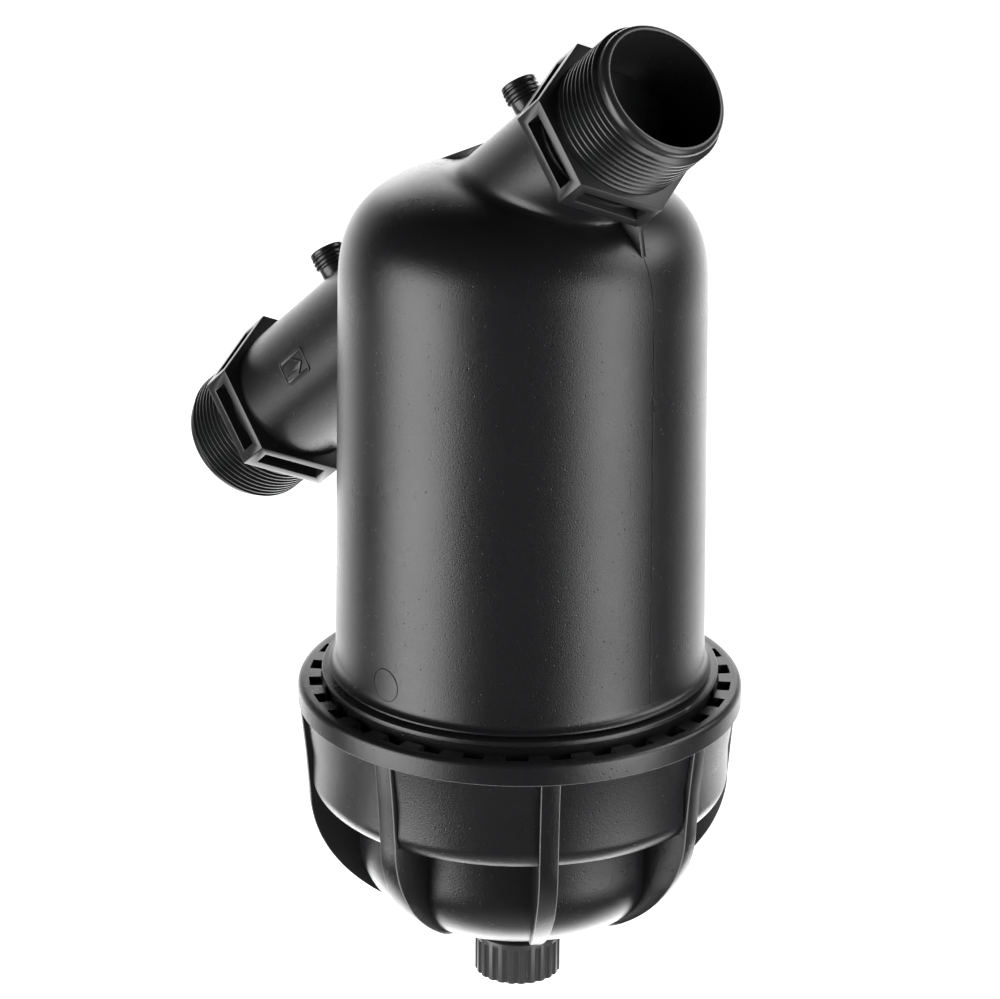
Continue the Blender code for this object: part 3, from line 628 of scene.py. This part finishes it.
nipple = {"stations": {"outletGauge": 23.3, "inletGauge": -97.6}, "foot": 21.8, "top": 33.0,
          "sunk": 2.0, "stem": 5.2, "stemEnd": 26.4, "flare": 1.2, "flareRise": 2.4,
          "crest": 6.05, "root": 5.25, "rootWidth": 1.42, "crestWidth": 0.3, "rootSunk": 0.2,
          "pitch": 1.46, "threadSteps": 64, "fade": 0.25, "band": 1.9, "bandRound": 0.6,
          "tap": 1.7, "tapEdge": 0.3, "points": 64}


def buildNipple(name, station):
    start = pipeAlong * station * mm
    top, root, crest, soft = nipple["top"], nipple["root"], nipple["crest"], nipple["bandRound"]
    stemRadius, stemEnd, foot = nipple["stem"], nipple["stemEnd"], nipple["foot"]
    tap, edge = nipple["tap"], nipple["tapEdge"]
    threadEnd = top - nipple["band"]
    rings = [(tap, foot - nipple["sunk"]), (stemRadius + nipple["flare"], foot - nipple["sunk"])]
    rings += [(stemRadius + nipple["flare"] * (1 - math.sin(t)),
               foot + nipple["flareRise"] * (1 - math.cos(t)))
              for t in [math.radians(15 * i) for i in range(7)]]
    rings += [(stemRadius, stemEnd), (root, stemEnd + 0.2), (root, threadEnd),
              (crest - 0.15, threadEnd + 0.5)]
    rings += arcRings(crest - 0.7, top - soft, soft, 10, 90, 5)
    rings += [(tap + edge, top), (tap, top - edge)]
    stem = ringStack(name, rings, nipple["points"], pipeAbove, start, closed=True)
    turns = (threadEnd - stemEnd + 0.5) / nipple["pitch"]
    tooth = (root - nipple["rootSunk"], crest, nipple["rootWidth"], nipple["crestWidth"])
    ridge = windThread(name + "Thread", tooth, nipple["pitch"], turns, nipple["threadSteps"],
                       nipple["fade"], start + pipeAbove * (stemEnd + 0.1) * mm, pipeAbove)
    joinPieces(stem, ridge)
    return finishHousing(stem, "threadPlastic")


for name, station in nipple["stations"].items():
    buildNipple(name, station)
print("gauge nipples made")


# Gussets in the plane of the pipe

def domeHeight(radius):
    share = (abs(radius) / barrel["topRadius"]) ** barrel["domePower"]
    return barrel["domeBase"] + barrel["domeRise"] * (1 - share) ** (1 / barrel["domePower"])


def onPipe(s, h):
    spot = pipeAlong * s + pipeAbove * h
    return spot.x, spot.z


def raiseOutline(name, corners, move):
    # a flat face through the corners, drawn out along move, all in mm
    cleared()
    bpy.ops.mesh.primitive_circle_add(vertices=len(corners), radius=1, fill_type="NGON")
    piece = startPiece(name)
    for index, corner in zip(piece.data.polygons[0].vertices, corners):
        piece.data.vertices[index].co = [value * mm for value in corner]
    editAll()
    drawOut([value * mm for value in move])
    closeUp()
    return piece


def buildWeb(name, outline, thick, edge):
    # outline is (x, z) in mm, drawn out across the pipe's plane
    web = raiseOutline(name, [(x, -thick / 2, z) for x, z in outline], (0, thick, 0))
    if edge:
        roundEdges(web, edge, 40)
    return finishHousing(web)


gusset = {
    "sunk": 1.8,      # how far the foot lies in the dome
    "pipeDepth": 21.8,  # where the top lies in the neck's wall, off the pipe's axis
    "front": {"foot": 54.6, "footBack": 51.4, "footLift": 0.3, "inHex": 1.0, "corner": 0.5,
              "backShare": 0.6, "thick": 2.2, "edge": 0.3},
    "rear": {"foot": -38.0, "top": -2.0, "lift": 1.0, "lean": 3.6, "thick": 4.0, "edge": 0.4},
}


def buildFrontGusset():
    web, depth = gusset["front"], gusset["pipeDepth"]
    hexEnd, level = pipe["outletHex"] + web["inHex"], domeHeight(web["foot"])
    buildWeb("frontGusset", [onPipe(hexEnd, -depth),
                             onPipe(hexEnd, -(port["hexCorner"] - web["corner"])),
                             (web["foot"], level + web["footLift"]),
                             (web["footBack"], level - gusset["sunk"]),
                             onPipe(pipe["outletHex"] * web["backShare"], -depth)],
             web["thick"], web["edge"])


def buildRearGusset():
    web, level = gusset["rear"], domeHeight(gusset["rear"]["foot"])
    inner = onPipe(web["top"], gusset["pipeDepth"])
    buildWeb("rearGusset", [(web["foot"], level),
                            onPipe(web["top"], pipe["neckRadius"] + web["lift"]), inner,
                            (inner[0] - web["lean"], domeHeight(inner[0]) - gusset["sunk"]),
                            (web["foot"], level - gusset["sunk"])], web["thick"], web["edge"])


buildFrontGusset()
buildRearGusset()
print("gussets made")


# Parting line of the mould, in the plane of the pipe

seam = {"wide": 0.36, "proud": 0.16, "sunk": 0.5, "lipGap": 0.5, "footGap": 3.0,
        "dome": (54.0, 59.5), "wallTop": -34.0, "rearTop": -103.0,
        "inletTop": (-90.0, -66.0), "pastNipple": -105.0, "inletFoot": -104.0}


def buildSeam(name, line):
    # line is (x, z) in mm on the surface, with the outside on its left
    spots = np.array(line)
    along = np.gradient(spots, axis=0)
    outward = np.stack([-along[:, 1], along[:, 0]], axis=1)
    outward /= np.linalg.norm(outward, axis=1)[:, None]
    edge = np.concatenate([spots + outward * seam["proud"], (spots - outward * seam["sunk"])[::-1]])
    return buildWeb(name, [tuple(spot) for spot in edge], seam["wide"], 0)


def domeLine(start, end, count):
    return [(x, domeHeight(x)) for x in np.linspace(start, end, count)]


def wallLine(side, start, end, count):
    return [(side * barrelRadius(z), z) for z in np.linspace(start, end, count)]


seamFoot = (rimTop + barrel["flangeLift"] + barrel["flangeThick"] + barrel["groove"]
            + seam["lipGap"] + seam["footGap"])
neck = pipe["neckRadius"]
seamLines = {
    "frontSeam": domeLine(*seam["dome"], 24) + wallLine(1, seam["wallTop"], seamFoot, 12),
    "rearSeam": wallLine(-1, seamFoot, seam["rearTop"], 8),
    "inletTopSeam": [onPipe(s, neck) for s in seam["inletTop"]],
    "inletTopSeamEnd": [onPipe(s, neck) for s in (pipe["inletHex"], seam["pastNipple"])],
    "inletFootSeam": [onPipe(s, -neck) for s in (seam["inletFoot"], pipe["inletHex"])],
}
for name, line in seamLines.items():
    buildSeam(name, line)
print("parting line made")


# Marks raised on the mouldings

mark = {"ejector": {"angle": math.radians(-89.0), "height": -148.3, "radius": 5.5, "line": 0.22},
        "plate": {"s": -111.1, "h": 0.75, "wide": 9.2, "long": 14.4, "corner": 1.7, "frame": 0.6,
                  "low": -0.6, "floor": 0.05, "high": 0.5, "edge": 0.12, "slice": 0.8},
        "arrow": {"proud": 0.05, "edge": 0.1,
                  "outline": [(0.2, 5.2), (-3.0, 0.5), (-1.6, 0.4), (-1.6, -4.9), (1.6, -4.9),
                              (1.6, 0.9), (3.1, 1.1)]}}


def wrapOn(piece, start, axis, facing, radius):
    # bends a piece made flat, x across and y along the axis, onto a round wall
    side = axis.cross(facing)
    for vert in piece.data.vertices:
        angle = vert.co.x / (radius * mm)
        out = facing * math.cos(angle) + side * math.sin(angle)
        vert.co = start + axis * vert.co.y + out * (radius * mm + vert.co.z)
    piece.data.update()


def sliceAcross(piece, reach, step):
    # cuts a piece into strips, so that it can bend
    selectOnly(piece)
    count = int(reach / step)
    for i in range(-count, count + 1):
        editAll()
        bpy.ops.mesh.bisect(plane_co=(i * step * mm, 0, 0), plane_no=(1, 0, 0))
        objectMode()


def buildArrowPlate():
    plate = mark["plate"]
    cleared()
    bpy.ops.mesh.primitive_plane_add(size=1, location=(0, 0, plate["low"] * mm))
    piece = bpy.context.object
    piece.scale = (plate["wide"] * mm, plate["long"] * mm, 1)
    startPiece("flowArrow")
    editAll()
    bpy.ops.mesh.bevel(offset=plate["corner"] * mm, segments=5, affect="VERTICES")
    bpy.ops.mesh.select_all(action="SELECT")
    drawOut((0, 0, (plate["high"] - plate["low"]) * mm))
    pickFaces(piece, lambda centre, normal: centre.z > (plate["high"] - 0.01) * mm)
    bpy.ops.mesh.inset(thickness=plate["frame"] * mm)
    drawOut((0, 0, (plate["floor"] - plate["high"]) * mm))
    closeUp()
    roundEdges(piece, plate["edge"], 50)
    arrow = flatArrow(plate)
    sliceAcross(arrow, plate["wide"] / 2, plate["slice"])
    joinPieces(piece, arrow)
    tilt = plate["h"] / pipe["neckRadius"]
    facing = pipeAbove * math.sin(tilt) - pipeAside * math.cos(tilt)
    wrapOn(piece, pipeAlong * plate["s"] * mm, pipeAlong, facing, pipe["neckRadius"])
    return finishHousing(piece)


def flatArrow(plate):
    arrow = mark["arrow"]
    lift = plate["high"] + arrow["proud"] - plate["low"]
    corners = [(x, y, plate["low"]) for x, y in arrow["outline"]]
    return roundEdges(raiseOutline("arrow", corners, (0, 0, lift)), arrow["edge"], 50)


def buildEjectorMark():
    spot = mark["ejector"]
    cleared()
    bpy.ops.mesh.primitive_torus_add(major_radius=spot["radius"] * mm,
                                     minor_radius=spot["line"] * mm,
                                     major_segments=72, minor_segments=10)
    ring = startPiece("ejectorMark")
    facing = Vector((math.cos(spot["angle"]), math.sin(spot["angle"]), 0))
    wrapOn(ring, upward * spot["height"] * mm, upward, facing, barrelRadius(spot["height"]))
    return finishHousing(ring)


buildArrowPlate()
buildEjectorMark()
print("marks made")


# Cover: castellated screw ring, panels, eight deep ribs and the bowl

cover = {"points": 240, "rimRadius": 73.48, "rimHeight": 6.0, "rimRound": 2.0, "rimLift": 1.4,
         "rimEdge": 0.25, "rimInner": 0.3, "notchInner": 65.6, "notchOuter": 69.8,
         "notchDepth": 2.6, "notches": 30, "notchTurn": math.radians(3.8),
         "panelTop": 71.6, "panelFoot": 69.4, "panelEdge": 0.35, "bandEnd": 37.3,
         "bandRound": 8.0, "bandTurn": -52, "bandStart": 8.0, "shelf": 3.0,
         "bowlRadius": 54.0, "bowlDrop": 52.9, "bowlDepth": 31.2, "bowlPower": 2.47, "wall": 3.0,
         "bowlRings": 40, "innerRings": 20, "bore": 64.3, "shoulder": 31.0, "bossRadius": 12.4,
         "bossEnd": 90.6, "bossEdge": 0.3, "nippleRadius": 10.4, "drainBore": 6.4}


def coverRings():
    rim, band = rimTop, rimTop - cover["bandEnd"]
    round, bandRound = cover["rimRound"], cover["bandRound"]
    top, rimFoot, edge = rim + cover["rimLift"], rim - cover["rimHeight"], cover["rimEdge"]
    rimRadius, panelTop, panelFoot = cover["rimRadius"], cover["panelTop"], cover["panelFoot"]
    notchInner, inner = cover["notchInner"], cover["rimInner"]
    rings = [(notchInner, top - inner), (notchInner + inner, top), (cover["notchOuter"] + 0.6, top)]
    rings += arcRings(rimRadius - round, top - round, round, 90, 0, 8)
    rings += [(rimRadius, rimFoot + edge), (rimRadius - edge, rimFoot),
              (panelTop + cover["panelEdge"], rimFoot), (panelTop, rimFoot - cover["panelEdge"]),
              (panelFoot + 0.03, band + bandRound + cover["bandStart"])]
    centre = band - bandRound * math.sin(math.radians(cover["bandTurn"]))
    rings += arcRings(panelFoot - bandRound, centre, bandRound, 0, cover["bandTurn"], 10)
    bowlRadius, shelf, power = cover["bowlRadius"], cover["shelf"], cover["bowlPower"]
    bowlTop, wall = rim - cover["bowlDrop"], cover["wall"]
    rings += [(bowlRadius + shelf, band)]
    rings += arcRings(bowlRadius + shelf, band - shelf, shelf, 90, 180, 6)[1:]
    boss, bossRadius, bossEdge = rim - cover["bossEnd"], cover["bossRadius"], cover["bossEdge"]
    rings += ovalRings(bowlRadius, bowlTop, -cover["bowlDepth"], power, cover["bowlRings"],
                       bossRadius + 1.5)
    rings += [(bossRadius + 0.4, boss + 7.0), (bossRadius, boss + 6.0),
              (bossRadius, boss + bossEdge), (bossRadius - bossEdge, boss),
              (cover["nippleRadius"], boss), (cover["nippleRadius"], coverEnd),
              (cover["drainBore"], coverEnd)]
    rings += ovalRings(bowlRadius - wall, bowlTop, wall - cover["bowlDepth"], power,
                       cover["innerRings"], cover["drainBore"])[::-1]
    shoulder, notchFoot = rim - cover["shoulder"], rim - cover["notchDepth"]
    rings += [(bowlRadius - wall, shoulder - wall),
              (barrel["footRadius"] - barrel["wall"], shoulder), (cover["bore"], shoulder),
              (cover["bore"], notchFoot - 0.6), (notchInner - inner, notchFoot)]
    return rings


def notchTools():
    step = math.tau / cover["notches"]
    long = cover["notchOuter"] - cover["bore"] + 1.0
    wide = cover["notchOuter"] * step / 2  # as wide as the teeth between them
    deep = 2 * (cover["notchDepth"] + cover["rimLift"])
    top = rimTop + cover["rimLift"]
    cleared()
    bpy.ops.mesh.primitive_cube_add(
        size=1, location=((cover["notchOuter"] - long / 2) * mm, 0, top * mm),
        scale=(long * mm, wide * mm, deep * mm))
    first = startPiece("notches")
    turnPiece(first, cover["notchTurn"])
    copies = [turnPiece(copyPiece(first, "notch"), step * i) for i in range(1, cover["notches"])]
    return joinPieces(first, *copies)


rib = {"count": 8, "turn": math.radians(-35.6), "thick": 6.3, "topRadius": 73.2,
       "topInner": 67.0, "topDrop": 3.0, "ringDrop": 5.4, "panelRadius": 71.5, "panelDrop": 21.0,
       "footRadius": 70.3, "curveDrop": 36.0, "curveDepth": 51.5, "endRadius": 38.0,
       "curveSlices": 28, "leastDeep": 2.0, "edge": 0.3,
       "taper": 0.972, "tapered": 16,  # each of the last slices narrows by this
       "tongue": (0.88, 0.76, 0.45)}   # and the very last ones by these


def ribSlices():
    # (outer radius, inner radius, height) from inside the rim down to the bowl's foot
    inner, power = cover["bowlRadius"] - cover["wall"] / 2, cover["bowlPower"]
    topRadius, topInner, footRadius = rib["topRadius"], rib["topInner"], rib["footRadius"]
    low = rimTop - rib["curveDrop"]
    slices = [(topRadius, topInner, rimTop - rib["topDrop"]),
              (topRadius, topInner, rimTop - rib["ringDrop"]),
              (rib["panelRadius"], topInner, rimTop - rib["panelDrop"]),
              (footRadius, topInner, low), (footRadius, inner, low - 0.05)]
    stop = math.acos(rib["endRadius"] / footRadius)
    bowlTop = rimTop - cover["bowlDrop"]
    for i in range(1, rib["curveSlices"] + 1):
        t = stop * i / rib["curveSlices"]
        outer, z = footRadius * math.cos(t), low - rib["curveDepth"] * math.sin(t)
        depth = max(bowlTop - z, 0) / (cover["bowlDepth"] - cover["wall"] / 2)
        bowlSide = inner * max(1 - depth ** power, 0.001) ** (1 / power)
        slices.append((outer, min(bowlSide, outer - rib["leastDeep"]), z))
    return slices


def buildRib():
    slices = ribSlices()
    outer, inner, z = slices[0]
    cleared()
    bpy.ops.mesh.primitive_plane_add(size=1, location=((outer + inner) / 2 * mm, 0, z * mm))
    piece = bpy.context.object
    piece.scale = ((outer - inner) * mm, rib["thick"] * mm, 1)
    startPiece("rib")
    editAll()
    tongue = list(rib["tongue"])
    for index, (nextOuter, nextInner, nextZ) in enumerate(slices[1:], 1):
        shift = (nextOuter + nextInner - outer - inner) / 2
        drawOut((shift * mm, 0, (nextZ - z) * mm))
        left = len(slices) - index
        narrow = tongue.pop(0) if len(tongue) == left else 1
        if len(rib["tongue"]) < left <= rib["tapered"]:
            narrow = rib["taper"]
        bpy.ops.transform.resize(value=((nextOuter - nextInner) / (outer - inner), narrow, 1),
                                 center_override=((nextOuter + nextInner) / 2 * mm, 0, nextZ * mm))
        outer, inner, z = nextOuter, nextInner, nextZ
    closeUp()
    roundEdges(piece, rib["edge"], 50)
    return turnPiece(piece, rib["turn"])


def buildCover():
    shell = ringStack("cover", coverRings(), cover["points"], closed=True)
    turnPiece(shell, cover["notchTurn"] + math.pi / cover["points"])
    combine(shell, notchTools())
    first = buildRib()
    ribs = [first] + [turnPiece(copyPiece(first, "rib"), math.tau * i / rib["count"])
                      for i in range(1, rib["count"])]
    joinPieces(shell, *ribs)
    finishPiece(shell, "bowl", made["blackMoulding"], "cover", 32)
    # painted highlight lines along the frame's edges
    return paintEdgeHighlights(shell)


def paintEdgeHighlights(piece):
    # the arrises of the frame round each panel get a pale finish, a painted highlight line along
    # each edge
    piece.data.materials.append(made["paintedHighlightEdge"])
    step = math.tau / rib["count"]
    rimEdge = rimTop - cover["rimHeight"]
    near = rib["edge"]
    for face in piece.data.polygons:
        x, y, z = face.center / mm
        out = math.hypot(x, y)
        turn = math.atan2(y, x) - rib["turn"]
        ribAngle = rib["turn"] + step * round(turn / step)
        aside = Vector((-math.sin(ribAngle), math.cos(ribAngle), 0))
        offEdge = abs(abs(aside.x * x + aside.y * y) - rib["thick"] / 2)
        lean = abs(face.normal.dot(aside))  # a bevel's face leans, a flat one doesn't
        onRib = offEdge < near and 0.3 < lean < 0.95 and out > cover["bossRadius"]
        onRim = abs(z - rimEdge) < near and out > cover["rimRadius"] - near
        if (onRib and z < rimEdge) or onRim:
            # these bevel faces take the painted highlight finish
            face.material_index = 1
    return piece


buildCover()
print("cover made")


# Screw threads that show once the cover or the drain cap is off

screws = {
    "footThread": {"tooth": (63.1, 63.95, 3.4, 1.2), "pitch": 6.0, "turns": 3.4, "steps": 120,
                   "low": footEnd + 6.0, "body": "housing", "node": "filter_body"},
    "drainThread": {"tooth": (10.3, 10.66, 1.6, 0.4), "pitch": 1.814, "turns": 4.6, "steps": 72,
                    "low": coverEnd + 0.9, "body": "bowl", "node": "cover"},
}
screwFade = 0.3  # of a turn, at both ends
for name, screw in screws.items():
    ridge = windThread(name, screw["tooth"], screw["pitch"], screw["turns"], screw["steps"],
                       screwFade, upward * screw["low"] * mm, upward)
    finishPiece(ridge, screw["body"], made["threadPlastic"], screw["node"])
print("screw threads made")


# Drain cap with rounded flutes under a plain rim

cap = {"points": 288, "radius": 14.4, "flutes": 24, "fluteDepth": 0.9, "fluteWidth": 1.15,
       "flutePoints": 16, "flutePast": 1.0, "rim": 2.0, "rimRound": 0.4, "floor": 2.6,
       "bore": 10.7, "boreEdge": 0.3, "round": 0.5, "edge": 0.15,
       "pole": 0.5}  # radius of the flat left in the middle of each end


def buildCap():
    radius, round, soft, edge = cap["radius"], cap["round"], cap["rimRound"], cap["boreEdge"]
    bore, floor = cap["bore"], capEnd + cap["floor"]
    rings = [(cap["pole"], capEnd), (radius - round - 1.0, capEnd)]
    rings += arcRings(radius - round, capEnd + round, round, -90, 0, 5)
    rings += arcRings(radius - soft, capTop - soft, soft, 0, 90, 4)
    rings += [(bore + edge, capTop), (bore, capTop - edge), (bore, floor), (cap["pole"], floor)]
    body = ringStack("drainCap", rings, cap["points"])
    cleared()
    low, high = capEnd - cap["flutePast"], capTop - cap["rim"]
    bpy.ops.mesh.primitive_cylinder_add(
        vertices=cap["flutePoints"], radius=cap["fluteWidth"] * mm, depth=(high - low) * mm,
        location=((cap["radius"] + cap["fluteWidth"] - cap["fluteDepth"]) * mm, 0,
                  (low + high) / 2 * mm))
    first = startPiece("flutes")
    tools = [turnPiece(copyPiece(first, "flute"), math.tau * i / cap["flutes"])
             for i in range(1, cap["flutes"])]
    combine(body, joinPieces(first, *tools))
    roundEdges(body, cap["edge"], 40)
    return finishPiece(body, "drain_plug", made["capPlastic"], "drain_cap", 30)


buildCap()
print("drain cap made")


# Studio

view = {"azimuth": 46.61, "elevation": 20.95, "roll": 0.38, "lens": 172.56, "sensor": 36,
        "distance": 1.58905, "right": 0.00656, "up": -0.05945, "near": 0.05, "far": 30}


def viewAxes():
    a, e = math.radians(view["azimuth"]), math.radians(view["elevation"])
    back = Vector((math.sin(a) * math.cos(e), -math.cos(a) * math.cos(e), math.sin(e)))
    right = Vector((math.cos(a), math.sin(a), 0))
    roll = Matrix.Rotation(math.radians(view["roll"]), 3, back)
    return roll @ right, roll @ back.cross(right), back


def makeCamera():
    right, up, back = viewAxes()
    camera = bpy.data.objects.new("camera", bpy.data.cameras.new("camera"))
    bpy.context.collection.objects.link(camera)
    aim = Vector((0, 0, rimTop * mm))
    camera.matrix_world = Matrix.Translation(
        aim + back * view["distance"] - right * view["right"] - up * view["up"]) @ Matrix(
            (right, up, back)).transposed().to_4x4()
    camera.data.lens = view["lens"]
    camera.data.sensor_width = view["sensor"]
    camera.data.clip_start, camera.data.clip_end = view["near"], view["far"]
    bpy.context.scene.camera = camera


lights = {  # around the camera's own direction, positive towards the right of the picture
    "leftBox": {"azimuth": -66, "elevation": -5, "distance": 1.3, "wide": 1.0, "tall": 1.45,
                "power": 28},
    "rightBox": {"azimuth": 54, "elevation": -2, "distance": 1.3, "wide": 0.8, "tall": 1.45,
                 "power": 20},
    "underBox": {"azimuth": 180, "elevation": -62, "distance": 1.0, "wide": 1.5, "tall": 0.8,
                 "power": 12},
    "backTop": {"azimuth": 180, "elevation": 14, "distance": 1.5, "wide": 1.0, "tall": 0.35,
                "power": 3.5},
    "topBox": {"azimuth": 97, "elevation": 38, "distance": 1.4, "wide": 0.9, "tall": 0.7,
               "power": 9},
}


outletTop = 60  # about the height of the outlet, in mm


def makeLights():
    middle = Vector((0, 0, (capEnd + outletTop) / 2 * mm))
    for name, light in lights.items():
        a = math.radians(view["azimuth"] + light["azimuth"])
        e = math.radians(light["elevation"])
        out = Vector((math.sin(a) * math.cos(e), -math.cos(a) * math.cos(e), math.sin(e)))
        lamp = bpy.data.objects.new(name, bpy.data.lights.new(name, "AREA"))
        bpy.context.collection.objects.link(lamp)
        lamp.data.shape = "RECTANGLE"
        lamp.data.size, lamp.data.size_y = light["wide"], light["tall"]
        lamp.data.energy = light["power"]
        lamp.location = middle + out * light["distance"]
        lamp.rotation_euler = (-out).to_track_quat("-Z", "Y").to_euler()


studio = {  # brightness low to high, between two values of the direction
    "behind": (-0.43, -0.98, 0.02, 2.5),  # along the view
    "topFade": (0.5, -0.15, 0.15, 1.0),   # along Z, dimming what is behind
    "below": (-0.7, -0.97, 0.0, 0.8),     # along Z
}


def fadedBetween(tree, source, stops):
    return addRange(tree, source, *stops, interpolation_type="SMOOTHSTEP")


def makeWorld():
    # white behind the object and dark on the camera's side, white to the camera itself
    world = bpy.data.worlds.new("studio")
    bpy.context.scene.world = world
    world.use_nodes = True
    tree = world.node_tree
    where = addNode(tree, "TexCoord").outputs["Generated"]
    toCamera = addNode(tree, "VectorMath", {"operation": "DOT_PRODUCT"}, {0: where})
    toCamera.inputs[1].default_value = viewAxes()[2]
    height = addNode(tree, "SeparateXYZ", None, {0: where}).outputs["Z"]
    behind = fadedBetween(tree, toCamera.outputs["Value"], studio["behind"])
    topFade = fadedBetween(tree, height, studio["topFade"])
    below = fadedBetween(tree, height, studio["below"])
    bright = addMath(tree, "MAXIMUM", addMath(tree, "MULTIPLY", behind, topFade), below)
    shown = tree.nodes["Background"]
    shown.inputs["Color"].default_value = (1, 1, 1, 1)
    tree.links.new(bright, shown.inputs["Strength"])
    plain = addNode(tree, "Background", Color=(1, 1, 1, 1), Strength=1.0)
    seen = addNode(tree, "LightPath").outputs["Is Camera Ray"]
    mix = addNode(tree, "MixShader", None, {0: seen, 1: shown.outputs[0], 2: plain.outputs[0]})
    tree.links.new(mix.outputs[0], tree.nodes["World Output"].inputs["Surface"])


ground = {"size": 8, "height": -0.42, "colour": (0.9, 0.9, 0.9, 1), "roughness": 0.8,
          "glow": 0.9}


def makeFloor():
    cleared()
    bpy.ops.mesh.primitive_plane_add(size=ground["size"], location=(0, 0, ground["height"]))
    floor = startPiece("floor")
    material = bpy.data.materials.new("paleFloor")
    material.use_nodes = True
    shader = material.node_tree.nodes["Principled BSDF"]
    shader.inputs["Base Color"].default_value = ground["colour"]
    shader.inputs["Roughness"].default_value = ground["roughness"]
    shader.inputs["Emission Color"].default_value = (1, 1, 1, 1)
    shader.inputs["Emission Strength"].default_value = ground["glow"]
    floor.data.materials.append(material)
    floor.visible_glossy = False


makeCamera()
makeLights()
makeWorld()
makeFloor()
bpy.context.scene.view_settings.view_transform = "Standard"
print("studio made")

objectMode()
